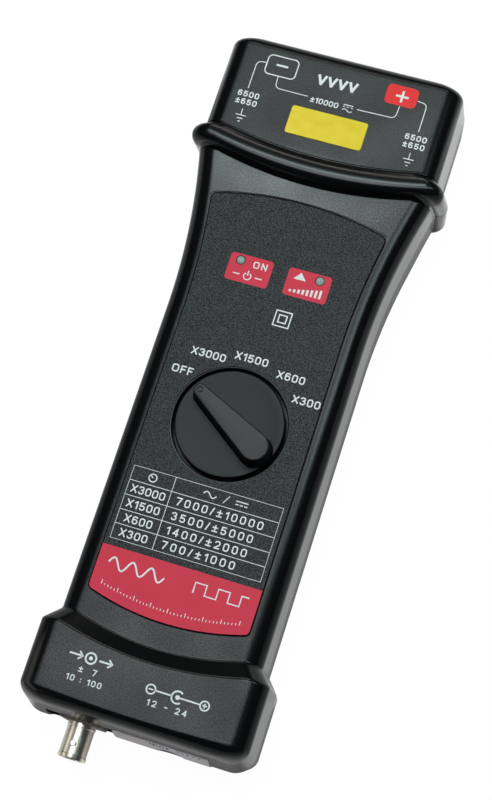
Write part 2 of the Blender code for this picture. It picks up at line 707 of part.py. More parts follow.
def screws(steel):
    for name, (x, y) in screw_places().items():
        place = (x, y, SCREW_SEAT_Z - GAP - SCREW_HEAD)
        screw(f"case_screw_{name}", SCREW_RADIUS, SCREW_HEAD_RADIUS, SCREW_HEAD, SCREW_LENGTH, place, steel)
    small = (SMALL_SCREW_RADIUS, SMALL_HEAD_RADIUS, SMALL_HEAD, SMALL_SCREW_LENGTH)
    for index, (x, y) in enumerate(board_screw_places()):
        place = (x, y, MAIN_BOARD_Z - GAP - SMALL_HEAD)
        screw(f"board_screw_{index + 1}", *small, place, steel)
    for index, (x, y) in enumerate(divider_screw_places()):
        place = (x, y, DIVIDER_BOARD_Z + BOARD + GAP + SMALL_HEAD)
        screw(f"divider_screw_{index + 1}", *small, place, steel, upside=True)


def labels(overlay_finish, yellow, pale):
    z0 = GRIP_DEPTH - OVERLAY_RECESS + GAP
    overlay = add_object(
        "face_overlay", prism_mesh(overlay_outline(0.0), z0, z0 + OVERLAY_THICKNESS), overlay_finish
    )
    top = ABOVE_ALL
    hole = CUP_RADIUS + GAP
    cut(overlay, cylinder("cut_overlay_knob", hole, PARTING_Z, top, y=KNOB_Y, sides=48))
    for name, sign in (("left", -1), ("right", 1)):
        x = sign * LED_SPACING / 2
        hole = LED_RADIUS + 2 * GAP
        cut(overlay, cylinder(f"cut_lamp_{name}", hole, PARTING_Z, top, x, LED_Y, 16))
    half = STICKER[0] / 2
    middle = GUARD_Y + STICKER_FROM_GUARD
    low = (-half, middle - STICKER[1] / 2, HEAD_DEPTH + GAP)
    high = (half, middle + STICKER[1] / 2, HEAD_DEPTH + GAP + STICKER[2])
    box("yellow_sticker", low, high, yellow)
    end_label(pale)


def end_label(pale):
    """A strip on the output end wall, bent with the wall at the parting line."""
    up = END_LABEL_TOP
    down = 6.0 * MM
    low_y = OUT_Y + END_DRAFT * down - GAP
    outline = [
        (OUT_Y - GAP, PARTING_Z),
        (OUT_Y - GAP + END_DRAFT * up, PARTING_Z + up),
        (OUT_Y - GAP + END_DRAFT * up - END_LABEL_THICKNESS, PARTING_Z + up),
        (OUT_Y - GAP - END_LABEL_THICKNESS, PARTING_Z),
        (low_y - END_LABEL_THICKNESS, PARTING_Z - down),
        (low_y, PARTING_Z - down),
    ]
    strip = add_object("end_label", sideways_mesh(outline, END_LABEL_LEFT, END_LABEL_RIGHT), pale)
    hole = cross_cylinder("cut_label", SUPPLY_HOLE, OUT_Y - 3 * MM, OUT_Y + 3 * MM, SUPPLY_X, PARTING_Z)
    cut(strip, hole)


def pointer_outline(grow):
    """The pointer's outline along -X: a small round tip and a larger round tail."""
    tip = POINTER_TIP_RADIUS + grow
    tail = POINTER_TAIL_RADIUS + grow
    lean = math.degrees(math.asin((tail - tip) / (POINTER_TIP_AT + POINTER_TAIL_AT)))
    points = arc((0, POINTER_TIP_AT), tip, lean, 180 - lean, 6)
    return points + arc((0, -POINTER_TAIL_AT), tail, 180 - lean, 360 + lean, 12)


def range_knob(axis, finish):
    """A flush disc with a skirt and a hub, and a tapered bar across it that points at the setting."""
    outer = KNOB_DIAMETER / 2
    chamfer = 0.5 * MM
    underside = KNOB_TOP - KNOB_SKIN
    profile = [
        (0, KNOB_TOP - 0.6 * MM),
        (outer * 0.7, KNOB_TOP - 0.4 * MM),
        (outer - chamfer, KNOB_TOP),
        (outer, KNOB_TOP - chamfer),
        (outer, CUP_FLOOR_Z + MM),
        (outer - KNOB_SKIRT, CUP_FLOOR_Z + MM),
        (outer - KNOB_SKIRT, underside),
        (KNOB_HUB_RADIUS, underside),
        (KNOB_HUB_RADIUS, BUSH_TOP + GAP),
        (0, BUSH_TOP + GAP),
    ]
    knob = add_object("range_knob", lathe_mesh(profile, 48), finish, parent=axis)
    bar = bmesh.new()
    levels = [
        (underside + MM, POINTER_DRAFT),
        (GRIP_DEPTH + POINTER_HEIGHT - 0.6 * MM, 0.0),
        (GRIP_DEPTH + POINTER_HEIGHT, -0.6 * MM),
    ]
    rings = [[bar.verts.new((x, y, z)) for x, y in pointer_outline(grow)] for z, grow in levels]
    for one, two in zip(rings, rings[1:]):
        for index in range(len(one)):
            after = (index + 1) % len(one)
            bar.faces.new((one[index], one[after], two[after], two[index]))
    bar.faces.new(rings[0])
    bar.faces.new(rings[-1])
    bar_object = add_object("add_pointer", bar, turn=(0, 0, OFF_ANGLE), parent=axis)
    join(knob, bar_object)
    bore = cylinder("cut_knob_bore", SHAFT_RADIUS + GAP, PARTING_Z, SHAFT_TOP + GAP, sides=16)
    bore.parent = axis
    cut(knob, bore)
    return knob


def range_switch(black, steel, brass):
    """The rotary switch: what turns hangs on an empty at the knob's axis, the rest is fixed."""
    axis = bpy.data.objects.new("switch_axis", None)
    axis.location = (0, KNOB_Y, 0)
    bpy.context.scene.collection.objects.link(axis)
    range_knob(axis, black)
    roof_z = CUP_FLOOR_Z - CUP_WALL - GAP
    floor_z = MAIN_BOARD_TOP + GAP
    wiper_top = floor_z + 0.8 * MM
    rotor_z = wiper_top + GAP
    shaft_z = rotor_z + 0.2 * MM
    shaft = [(0, shaft_z), (SHAFT_RADIUS, shaft_z), (SHAFT_RADIUS, SHAFT_TOP), (0, SHAFT_TOP)]
    add_object("switch_shaft", lathe_mesh(shaft, 16), steel, parent=axis)
    teeth = []
    for index in range(2 * DETENTS):
        radius = ROTOR_RADIUS - ROTOR_NOTCH * (index % 2)
        angle = math.pi * (index + 1) / DETENTS
        teeth.append((radius * math.cos(angle), radius * math.sin(angle)))
    rotor_mesh = prism_mesh(teeth, rotor_z, rotor_z + ROTOR_THICKNESS)
    rotor = add_object("switch_rotor", rotor_mesh, black, parent=axis)
    bore = cylinder("cut_rotor", SHAFT_RADIUS + GAP, BELOW_ALL, ABOVE_ALL, sides=16)
    bore.parent = axis
    cut(rotor, bore)
    box("switch_wiper", (-2 * MM, -3 * MM, floor_z), (2 * MM, 8.6 * MM, wiper_top), brass, axis)

    half = SWITCH_SIDE / 2
    housing = box(
        "switch_housing", (-half, KNOB_Y - half, floor_z), (half, KNOB_Y + half, roof_z), black
    )
    ball_z = rotor_z + ROTOR_THICKNESS / 2
    pocket_end = half - 0.8 * MM
    reach = BALL_RADIUS + GAP
    pocket_low = (ROTOR_RADIUS - MM, KNOB_Y - reach, ball_z - reach)
    cut(housing, box("cut_ball_pocket", pocket_low, (pocket_end, KNOB_Y + reach, ball_z + reach)))
    hollow = ROTOR_RADIUS + 2 * GAP
    inside = roof_z - SWITCH_ROOF
    cut(housing, cylinder("cut_hollow", hollow, BELOW_ALL, inside, y=KNOB_Y, sides=24))
    join(housing, cylinder("add_bush", BUSH_RADIUS, roof_z - MM, BUSH_TOP, y=KNOB_Y, sides=16))
    bore = SHAFT_RADIUS + GAP
    cut(housing, cylinder("cut_shaft", bore, BELOW_ALL, ABOVE_ALL, y=KNOB_Y, sides=16))
    ball_x = ROTOR_RADIUS + GAP + BALL_RADIUS
    ball = bmesh.new()
    bmesh.ops.create_uvsphere(ball, u_segments=12, v_segments=6, radius=BALL_RADIUS)
    add_object("detent_ball", ball, steel, place=(ball_x, KNOB_Y, ball_z))
    detent_spring(ball_x + BALL_RADIUS + GAP, pocket_end - GAP, ball_z, steel)

    washer_z = CUP_FLOOR_Z + GAP
    washer_top = washer_z + WASHER_THICKNESS
    hole = BUSH_RADIUS + GAP
    washer = [(hole, washer_z), (WASHER_RADIUS, washer_z), (WASHER_RADIUS, washer_top), (hole, washer_top)]
    add_object("switch_washer", lathe_mesh(washer, 16, True), steel, place=(0, KNOB_Y, 0))
    nut_z = washer_top + GAP
    corners = arc((0, KNOB_Y), NUT_ACROSS / math.sqrt(3), 0, 300, 5)
    nut = add_object("switch_nut", prism_mesh(corners, nut_z, nut_z + NUT_HEIGHT), steel)
    cut(nut, cylinder("cut_nut", hole, BELOW_ALL, ABOVE_ALL, y=KNOB_Y, sides=16))


def detent_spring(x0, x1, z, steel):
    """A small compression spring behind the detent ball, wound along X."""
    per_turn = 8
    radius = BALL_RADIUS - 2 * SPRING_WIRE
    curve = bpy.data.curves.new("detent_spring", "CURVE")
    curve.dimensions = "3D"
    curve.bevel_depth = SPRING_WIRE
    curve.bevel_resolution = 0
    curve.use_fill_caps = True
    spline = curve.splines.new("POLY")
    count = SPRING_TURNS * per_turn + 1
    spline.points.add(count - 1)
    for index in range(count):
        angle = 2 * math.pi * index / per_turn
        x = x0 + SPRING_WIRE + (x1 - x0 - 2 * SPRING_WIRE) * index / (count - 1)
        place = (x, KNOB_Y + radius * math.cos(angle), z + radius * math.sin(angle), 1)
        spline.points[index].co = place
    curve.materials.append(steel)
    spring = bpy.data.objects.new("detent_spring", curve)
    bpy.context.scene.collection.objects.link(spring)


def boards(green, can, black):
    half = MAIN_BOARD_WIDTH / 2
    tongue = BOARD_TONGUE_WIDTH / 2
    outline = [
        (half, MAIN_BOARD_Y0),
        (half, MAIN_BOARD_Y1),
        (tongue, MAIN_BOARD_Y1),
        (tongue, TONGUE_Y1),
        (-tongue, TONGUE_Y1),
        (-tongue, MAIN_BOARD_Y1),
        (-half, MAIN_BOARD_Y1),
        (-half, MAIN_BOARD_Y0),
    ]
    board = add_object("main_board", prism_mesh(outline, MAIN_BOARD_Z, MAIN_BOARD_TOP), green)
    for index, (x, y) in enumerate(board_screw_places()):
        hole = SMALL_SCREW_RADIUS + GAP
        cut(board, cylinder(f"cut_main_{index}", hole, BELOW_ALL, ABOVE_ALL, x, y, 8))
    can_z = MAIN_BOARD_TOP + GAP
    can_y = KNOB_Y + SWITCH_SIDE / 2 + CAN_AFTER_SWITCH
    can_half = LED_SPACING / 2 - SPACER_RADIUS - GAP
    low = Vector((-can_half, can_y, can_z))
    high = Vector((can_half, can_y + CAN_LENGTH, can_z + CAN_HEIGHT))
    sheet = Vector((CAN_SHEET, CAN_SHEET, CAN_SHEET))
    shield = box("shield_can", low, high, can)
    inside = low + sheet
    inside.z = can_z - MM
    cut(shield, box("cut_can", inside, high - sheet))
    chip_y = can_y + CAN_LENGTH / 2
    width, length, height = CHIP
    low = (-width / 2, chip_y - length / 2, can_z)
    box("amplifier_chip", low, (width / 2, chip_y + length / 2, can_z + height), black)
    width, length, height = CONVERTER
    under = MAIN_BOARD_Z - GAP
    start = MAIN_BOARD_Y0 + BOARD_AFTER_BATTERY
    low = (CONVERTER_X, start, under - height)
    box("power_converter", low, (CONVERTER_X + width, start + length, under), black)

    wide = JACK_X + 6 * MM
    low = (-wide, RESISTORS_Y0 - 3 * MM, DIVIDER_BOARD_Z)
    divider = box("divider_board", low, (wide, CONTACT_BACK + 2 * MM, DIVIDER_BOARD_Z + BOARD), green)
    for index, (x, y) in enumerate(divider_screw_places()):
        hole = SMALL_SCREW_RADIUS + GAP
        cut(divider, cylinder(f"cut_board_hole_{index}", hole, BELOW_ALL, ABOVE_ALL, x, y, 8))
    low = (-27 * MM, OUT_Y + WALL + 4.5 * MM, OUTPUT_BOARD_Z)
    box("output_board", low, (27 * MM, BATTERY_Y0 - BOX_WALL - MM, OUTPUT_BOARD_TOP), green)


def resistors(finish):
    """Two high-voltage resistors in line behind each input contact."""
    lead = RESISTOR_LEAD_RADIUS
    end = RESISTOR_LEAD + RESISTOR_LENGTH
    profile = [
        (0, 0),
        (lead, 0),
        (lead, RESISTOR_LEAD),
        (RESISTOR_RADIUS, RESISTOR_LEAD),
        (RESISTOR_RADIUS, end),
        (lead, end),
        (lead, end + RESISTOR_LEAD),
        (0, end + RESISTOR_LEAD),
    ]
    z = DIVIDER_BOARD_Z + BOARD + GAP + RESISTOR_RADIUS
    for side, sign in (("minus", -1), ("plus", 1)):
        for index in range(2):
            y = CONTACT_BACK - (index + 1) * RESISTOR_STEP
            name = f"divider_resistor_{side}_{index + 1}"
            mesh = lathe_mesh(profile, 12)
            add_object(name, mesh, finish, place=(sign * JACK_X, y, z), turn=ALONG_Y)


def input_jacks(black, red, brass):
    """A deep insulating shroud at each input, with its contact tube set far back in it."""
    back = -JACK_LENGTH
    tail = CONTACT_TAIL + GAP
    wall_back = -WALL - 2 * MM
    shroud = [
        (JACK_BORE, 0),
        (JACK_RADIUS, 0),
        (JACK_RADIUS, wall_back),
        (JACK_RADIUS + JACK_COLLAR, wall_back),
        (JACK_RADIUS + JACK_COLLAR, wall_back - 2 * MM),
        (JACK_RADIUS, wall_back - 2 * MM),
        (JACK_RADIUS, back),
        (tail, back),
        (tail, -JACK_BORE_DEPTH),
        (JACK_BORE, -JACK_BORE_DEPTH),
    ]
    front = -CONTACT_SETBACK
    base = -JACK_BORE_DEPTH + GAP
    tip = back - CONTACT_TAIL_LENGTH
    contact = [
        (0, front - 14 * MM),
        (CONTACT_BORE, front - 14 * MM),
        (CONTACT_BORE, front),
        (CONTACT_RADIUS, front),
        (CONTACT_RADIUS, base),
        (CONTACT_TAIL, base),
        (CONTACT_TAIL, tip),
        (0, tip),
    ]
    for side, sign, finish in (("minus", -1, black), ("plus", 1, red)):
        place = (sign * JACK_X, IN_Y, PARTING_Z)
        add_object(f"input_jack_{side}", lathe_mesh(shroud, 24, True), finish, place, ALONG_Y)
        add_object(f"input_contact_{side}", lathe_mesh(contact, 12), brass, place, ALONG_Y)


def output_jack(nickel, pale, white, brass):
    """The bayonet output jack: a block on the board, the barrel, its insulator and its contact."""
    half = BNC_HOUSING / 2
    low = (BNC_X - half, OUT_Y + GAP, PARTING_Z - half)
    high = (BNC_X + half, OUT_Y + BNC_HOUSING_DEPTH, PARTING_Z + half)
    housing = box("bnc_housing", low, high, pale)
    hole = BNC_RADIUS + GAP
    stub = OUT_Y + GAP + BNC_STUB
    cut(housing, cross_cylinder("cut_barrel", hole, OUT_Y - 5 * MM, stub + GAP, BNC_X, PARTING_Z))
    through = INSULATOR_RADIUS + GAP
    cut(housing, cross_cylinder("cut_core", through, OUT_Y, OUT_Y + 40 * MM, BNC_X, PARTING_Z, 16))

    length = BNC_REACH + GAP + BNC_STUB
    lip = 0.4 * MM
    barrel = [
        (INSULATOR_RADIUS + GAP, 0),
        (BNC_RADIUS, 0),
        (BNC_RADIUS, length - lip),
        (BNC_RADIUS - lip, length),
        (BNC_BORE, length),
        (BNC_BORE, length - 9.0 * MM),
        (INSULATOR_RADIUS + GAP, length - 9.0 * MM),
    ]
    place = (BNC_X, stub, PARTING_Z)
    shell = add_object("bnc_barrel", lathe_mesh(barrel, 32, True), nickel, place, AGAINST_Y)
    lug_y = OUT_Y - BNC_REACH + LUG_FROM_TIP
    reach = BNC_RADIUS + LUG_RISE
    for name, z0, z1 in (
        ("front", PARTING_Z + BNC_BORE + 0.3 * MM, PARTING_Z + reach),
        ("rear", PARTING_Z - reach, PARTING_Z - BNC_BORE - 0.3 * MM),
    ):
        join(shell, cylinder(f"add_lug_{name}", LUG_RADIUS, z0, z1, BNC_X, lug_y, 12))
    depth = stub - OUT_Y + BNC_REACH - 2.0 * MM
    core = [
        (INSULATOR_BORE, -4.0 * MM),
        (INSULATOR_RADIUS, -4.0 * MM),
        (INSULATOR_RADIUS, depth),
        (INSULATOR_BORE, depth),
    ]
    add_object("bnc_insulator", lathe_mesh(core, 16, True), white, place, AGAINST_Y)
    pin = [(0, -7.0 * MM), (PIN_RADIUS, -7.0 * MM), (PIN_RADIUS, depth - MM), (0, depth - MM)]
    add_object("bnc_contact", lathe_mesh(pin, 12), brass, place, AGAINST_Y)


def supply_jack(black, nickel):
    width, depth, height = SUPPLY_BLOCK
    y0 = OUT_Y + WALL + MM
    z0 = OUTPUT_BOARD_TOP + GAP
    low = (SUPPLY_X - width / 2, y0 + 2 * MM, z0)
    block = box("supply_jack", low, (SUPPLY_X + width / 2, y0 + depth, z0 + height), black)
    nose = cross_cylinder("add_nose", SUPPLY_HOLE - 2 * GAP, OUT_Y + MM, y0 + 5 * MM, SUPPLY_X, PARTING_Z)
    join(block, nose)
    end = OUT_Y + MM + SUPPLY_BORE_DEPTH
    cut(block, cross_cylinder("cut_supply", SUPPLY_BORE, OUT_Y - MM, end, SUPPLY_X, PARTING_Z, 16))
    pin = [(0, OUT_Y + 2 * MM), (SUPPLY_PIN, OUT_Y + 2 * MM), (SUPPLY_PIN, end - GAP), (0, end - GAP)]
    place = (SUPPLY_X, 0, PARTING_Z)
    add_object("supply_pin", lathe_mesh(pin, 12), nickel, place, ALONG_Y)


def battery(case, nickel, black, red, copper):
    """A 9 V block battery across the grip, its contact carrier and the two leads to the board."""
    x1 = BATTERY_RIGHT - BATTERY_SLACK
    x0 = x1 - BATTERY[0] + STUD_HEIGHT
    y0 = BATTERY_Y0 + BATTERY_SLACK
    y1 = y0 + BATTERY[1]
    z0 = DOOR_TOP + 2 * GAP
    cell = box("battery", (x0, y0, z0), (x1, y1, z0 + BATTERY[2]), case)
    middle = (y0 + y1) / 2
    z = z0 + BATTERY[2] / 2
    for name, y in (("plus", middle - 6.35 * MM), ("minus", middle + 6.35 * MM)):
        stud = [(0, -MM), (2.9 * MM, -MM), (2.9 * MM, STUD_HEIGHT), (0, STUD_HEIGHT)]
        made = add_object(f"add_stud_{name}", lathe_mesh(stud, 12), place=(x0, y, z))
        made.rotation_euler = (0, -math.pi / 2, 0)
        join(cell, made)
    carrier_x = x0 - STUD_HEIGHT - GAP - CARRIER
    low = (carrier_x, BATTERY_Y0 + GAP, z0 + MM)
    high = (carrier_x + CARRIER, BATTERY_Y1 - GAP, z0 + BATTERY[2] - MM)
    box("battery_contacts", low, high, copper)
    lead_z = BATTERY_TOP - 5 * MM
    for index, (name, finish) in enumerate((("minus", black), ("plus", red))):
        x = carrier_x + CARRIER + (0.95 + 1.45 * index) * MM
        start = Vector((x, BATTERY_Y1 - 2.2 * MM, lead_z))
        end = Vector((x, MAIN_BOARD_Y0 + 1.5 * MM, MAIN_BOARD_Z - GAP))
        lead(f"battery_lead_{name}", start, end, finish)


def lead(name, start, end, finish):
    """A short wire from the battery contacts to the underside of the main board."""
    curve = bpy.data.curves.new(name, "CURVE")
    curve.dimensions = "3D"
    curve.bevel_depth = 0.6 * MM
    curve.bevel_resolution = 0
    curve.use_fill_caps = True
    spline = curve.splines.new("POLY")
    middle = Vector((start.x, end.y, start.z))
    points = []
    for step in range(9):
        share = step / 8
        points.append(start.lerp(middle, share).lerp(middle.lerp(end, share), share))
    spline.points.add(len(points) - 1)
    for point, place in zip(spline.points, points):
        point.co = (*place, 1)
    curve.materials.append(finish)
    bpy.context.scene.collection.objects.link(bpy.data.objects.new(name, curve))


def ribbon(finish):
    """A flat cable from the main board, over the battery box, down to the output board."""
    thick = 0.5 * MM
    over = BOX_ROOF + GAP
    y_board = MAIN_BOARD_Y0 + 2.0 * MM
    y_front = BATTERY_Y0 - BOX_WALL - 2.5 * MM
    low = OUTPUT_BOARD_TOP + GAP
    start = MAIN_BOARD_TOP + GAP
    outline = [
        (y_board, start),
        (y_board, over + thick),
        (y_front, over + thick),
        (y_front, low),
        (y_front + thick, low),
        (y_front + thick, over),
        (y_board - thick, over),
        (y_board - thick, start),
    ]
    add_object("ribbon_cable", sideways_mesh(outline, -6 * MM, 6 * MM), finish)


def lamps(lens, pale):
    """The two lamps in the face, each on a spacer that stands on the main board."""
    base = GRIP_DEPTH + LED_PROUD - LED_BODY
    dome = [(LED_RADIUS * math.cos(a), LED_RADIUS * math.sin(a)) for a in (0.0, 0.5, 1.0)]
    shoulder = GRIP_DEPTH + LED_PROUD - LED_RADIUS
    profile = [(0, base), (LED_RADIUS + 0.2 * MM, base), (LED_RADIUS + 0.2 * MM, base + MM)]
    profile += [(LED_RADIUS, base + MM)]
    profile += [(radius, shoulder + rise) for radius, rise in dome]
    profile += [(0, shoulder + LED_RADIUS)]
    for name, sign in (("power", -1), ("over_range", 1)):
        place = (sign * LED_SPACING / 2, LED_Y, 0)
        add_object(f"{name}_lamp", lathe_mesh(profile, 16), lens, place)
        top = base - GAP
        low = MAIN_BOARD_TOP + GAP
        spacer = [(SPACER_BORE, low), (SPACER_RADIUS, low), (SPACER_RADIUS, top), (SPACER_BORE, top)]
        add_object(f"{name}_lamp_spacer", lathe_mesh(spacer, 12, True), pale, place)


def main():
    clear_scene()
    shell = material("shell_black", (0.03, 0.033, 0.035), 0.42)
    inner_black = material("moulded_black", (0.04, 0.04, 0.042), 0.5)
    red = material("red_insulator", (0.55, 0.03, 0.03), 0.4)
    overlay_finish = material("overlay_charcoal", (0.05, 0.055, 0.056), 0.6)
    yellow = material("sticker_yellow", (0.75, 0.62, 0.05), 0.5)
    pale = material("pale_plastic", (0.72, 0.68, 0.68), 0.5)
    white = material("white_insulator", (0.85, 0.85, 0.83), 0.4)
    nickel = material("nickel", (0.72, 0.69, 0.62), 0.22, 1.0)
    steel = material("steel", (0.55, 0.55, 0.56), 0.35, 1.0)
    brass = material("brass", (0.75, 0.58, 0.28), 0.3, 1.0)
    green = material("board_green", (0.03, 0.16, 0.07), 0.5)
    lens = material("lamp_lens", (0.33, 0.38, 0.34), 0.25)
    resistor = material("resistor_blue", (0.08, 0.16, 0.32), 0.45)
    cable = material("ribbon_grey", (0.45, 0.45, 0.46), 0.6)

    front_shell(shell)
    rear_shell(shell)
    battery_door(shell)
    screws(steel)
    labels(overlay_finish, yellow, pale)
    range_switch(inner_black, steel, brass)
    boards(green, nickel, inner_black)
    resistors(resistor)
    input_jacks(inner_black, red, brass)
    output_jack(nickel, pale, white, brass)
    supply_jack(inner_black, nickel)
    battery(inner_black, nickel, inner_black, red, brass)
    ribbon(cable)
    lamps(lens, white)


main()
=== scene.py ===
"""Looks of a handheld high-voltage differential probe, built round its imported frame.

Lengths are metres, written as millimetres times MM. +X is right of the dial, +Y the input end and
+Z out of the face. Places on the face are given from the dial's centre, as they would be on a drawing
of the print.
"""

import json
import math

import bmesh
import bpy
from mathutils import Matrix, Vector


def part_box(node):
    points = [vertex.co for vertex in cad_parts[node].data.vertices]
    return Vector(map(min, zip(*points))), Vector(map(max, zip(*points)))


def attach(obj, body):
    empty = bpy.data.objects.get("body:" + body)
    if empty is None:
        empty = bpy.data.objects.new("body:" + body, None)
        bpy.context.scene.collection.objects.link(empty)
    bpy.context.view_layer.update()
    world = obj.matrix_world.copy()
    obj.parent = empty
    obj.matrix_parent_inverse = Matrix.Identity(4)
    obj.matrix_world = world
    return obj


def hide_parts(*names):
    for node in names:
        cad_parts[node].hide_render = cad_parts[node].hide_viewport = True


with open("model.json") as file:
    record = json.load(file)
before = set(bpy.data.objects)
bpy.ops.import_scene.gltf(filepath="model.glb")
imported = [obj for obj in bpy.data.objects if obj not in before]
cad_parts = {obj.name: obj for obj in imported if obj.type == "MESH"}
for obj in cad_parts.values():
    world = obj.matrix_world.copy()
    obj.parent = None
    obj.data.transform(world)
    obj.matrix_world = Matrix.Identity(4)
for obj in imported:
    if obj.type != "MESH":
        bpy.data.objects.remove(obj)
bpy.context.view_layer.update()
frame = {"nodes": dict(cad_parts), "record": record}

MM = 0.001
BODY = "probe_body"
DIAL = "range_dial"
DOOR = "door"

# Sizes of the body, the same as the frame's
BODY_LENGTH = 251.5 * MM
HEAD_WIDTH = 87.0 * MM
GRIP_WIDTH = 71.6 * MM
BASE_WIDTH = 81.0 * MM
GUARD_WIDTH = 94.0 * MM
GRIP_DEPTH = 38.0 * MM
PARTING_Z = 19.0 * MM
HEAD_RISE = 2.5 * MM
BASE_RISE = 4.0 * MM
GUARD_RISE = 4.5 * MM
HEAD_LENGTH = 43.8 * MM
BASE_LENGTH = 28.7 * MM
BASE_SLOPE = 5.3 * MM
GUARD_BAND = 8.5 * MM
GUARD_SIDE_BAND = 6.8 * MM
GUARD_LEAN = 2.8 * MM
GUARD_LEAN_REACH = 20.0 * MM
CREASE = 0.45 * MM  # depth of the fine groove along each side of the guard ring
CREASE_WIDTH = 0.9 * MM
FLARE_RADIUS = 231.0 * MM
FLARE_START = 63.0 * MM
ARC_SAG = 4.5 * MM
FRONT_EDGE = 7.0 * MM
REAR_EDGE = 5.0 * MM
CORNER = 7.5 * MM
SIDE_DRAFT = math.tan(math.radians(3.0))
END_DRAFT = math.tan(math.radians(7.0))
WALL = 2.5 * MM
GAP = 0.3 * MM
SPLIT = 0.3 * MM
OVERLAP = 1.0 * MM
SOFT_EDGE = 0.55 * MM  # rounding of the steps along the body
LIP = 0.35 * MM  # rounding of a cut edge
WELD = 0.001 * MM  # points nearer than this become one

BNC_REACH = 11.8 * MM
OUT_Y = -(BODY_LENGTH + BNC_REACH) / 2 + BNC_REACH
IN_Y = OUT_Y + BODY_LENGTH
GUARD_Y = IN_Y - HEAD_LENGTH
BASE_Y = OUT_Y + BASE_LENGTH
GRIP_Y = BASE_Y + BASE_SLOPE
FLARE_Y = GUARD_Y - FLARE_START
HEAD_DEPTH = GRIP_DEPTH + HEAD_RISE
BASE_DEPTH = GRIP_DEPTH + BASE_RISE
ABOVE_ALL = 60.0 * MM
BELOW_ALL = -10.0 * MM

# Dial, knob and lamps
DIAL_Y = GUARD_Y - 99.0 * MM
KNOB_RADIUS = 18.75 * MM
KNOB_TOP = GRIP_DEPTH + 0.4 * MM
CUP_RADIUS = KNOB_RADIUS + 0.95 * MM
CUP_FLOOR_Z = GRIP_DEPTH - 7.0 * MM
CUP_WALL = 2.0 * MM
BUSH_TOP = CUP_FLOOR_Z + 3.3 * MM
BUSH_HOLE = 4.8 * MM
OFF_TURN = math.radians(60.0)
LAMP_X = 14.3 * MM
LAMP_Y = GUARD_Y - 42.0 * MM
LAMP_RADIUS = 1.5 * MM

# Face overlay
OVERLAY_TOP = GRIP_DEPTH + 0.15 * MM
OVERLAY_RECESS = 0.5 * MM
OVERLAY_LOW = BASE_Y + 13.7 * MM
OVERLAY_HIGH = GUARD_Y - 20.6 * MM
OVERLAY_MARGIN = 7.5 * MM
FILM_DEPTH = 0.65 * MM  # down into its recess, so that it stands on the shell
FILM_EDGE = 0.06 * MM

# Jacks
JACK_X = 22.1 * MM
JACK_RADIUS = 6.5 * MM
BNC_X = -18.6 * MM
BNC_RADIUS = 4.85 * MM
BNC_BORE = 4.1 * MM
SUPPLY_X = 12.8 * MM
SUPPLY_HOLE = 4.6 * MM
WINDOW = (BNC_X - 12.0 * MM, BNC_X + 11.4 * MM)  # the output jack's window, left to right
WINDOW_HALF_HEIGHT = 8.5 * MM

# Pointer, across the dial
POINTER_HEIGHT = 7.5 * MM
POINTER_TIP_RADIUS = 2.3 * MM
POINTER_TAIL_RADIUS = 5.0 * MM
POINTER_TIP_AT = 13.7 * MM
POINTER_TAIL_AT = 13.1 * MM

# Battery box and door
BATTERY_Y0 = OUT_Y + 33.0 * MM
BATTERY_Y1 = BATTERY_Y0 + 27.5 * MM
BATTERY_LEFT = -26.9 * MM
BATTERY_RIGHT = 27.0 * MM
BATTERY_TOP = 20.9 * MM
BOX_WALL = 1.6 * MM
BOX_ROOF = 22.8 * MM
DOOR_WIDTH = 55.0 * MM
DOOR_THICKNESS = 2.4 * MM
DOOR_SET_IN = 0.4 * MM
DOOR_TONGUE = 1.7 * MM
DOOR_LIP = 1.2 * MM
DOOR_RIBS = 5
DOOR_RIB_STEP = 2.6 * MM
DOOR_RIB_HALF = 8.0 * MM
DOOR_Y0 = OUT_Y + END_DRAFT * (PARTING_Z - DOOR_SET_IN - DOOR_THICKNESS)
DOOR_Y1 = OUT_Y + 66.0 * MM
FLOOR_Z = 3.1 * MM
FLOOR_TOP = 5.4 * MM

INK = 0.04 * MM
INK_SUNK = 0.026 * MM
INK_STEP = 0.0036 * MM  # crossing lines lie at slightly different levels
BEND_POINTS = 5


# ---------------------------------------------------------------- node trees

class Nodes:
    """Adds nodes to a tree. An input given a socket is linked to it, any other value is set."""

    def __init__(self, tree):
        self.tree = tree

    def feed(self, node, label, value):
        self.tree.links.new(value, node.inputs[label])

    def spread(self, value, low=0.0, high=1.0, start=0.3, end=0.7):
        """Maps noise, or another value that runs from start to end, to a range of values."""
        inputs = {"Value": value, "From Min": start, "From Max": end, "To Min": low, "To Max": high}
        return self.add("ShaderNodeMapRange", inputs).outputs["Result"]

    def work(self, operation, *values):
        return self.add("ShaderNodeMath", dict(enumerate(values)), operation=operation).outputs[0]

    def product(self, *values):
        result = values[0]
        for value in values[1:]:
            result = self.work("MULTIPLY", result, value)
        return result

    def add(self, kind, inputs=None, **settings):
        node = self.tree.nodes.new(kind)
        for name, value in settings.items():
            setattr(node, name, value)
        for key, value in (inputs or {}).items():
            if isinstance(value, bpy.types.NodeSocket):
                self.tree.links.new(value, node.inputs[key])
            else:
                node.inputs[key].default_value = value
        return node


def geometry_tree(name, sizes):
    """A Geometry Nodes tree with named inputs for its sizes. Returns it, its nodes and its inputs."""
    tree = bpy.data.node_groups.new(name, "GeometryNodeTree")
    tree.interface.new_socket("Geometry", in_out="INPUT", socket_type="NodeSocketGeometry")
    for label, kind in sizes.items():
        tree.interface.new_socket(label, in_out="INPUT", socket_type=kind)
    tree.interface.new_socket("Geometry", in_out="OUTPUT", socket_type="NodeSocketGeometry")
    nodes = Nodes(tree)
    return tree, nodes, nodes.add("NodeGroupInput").outputs


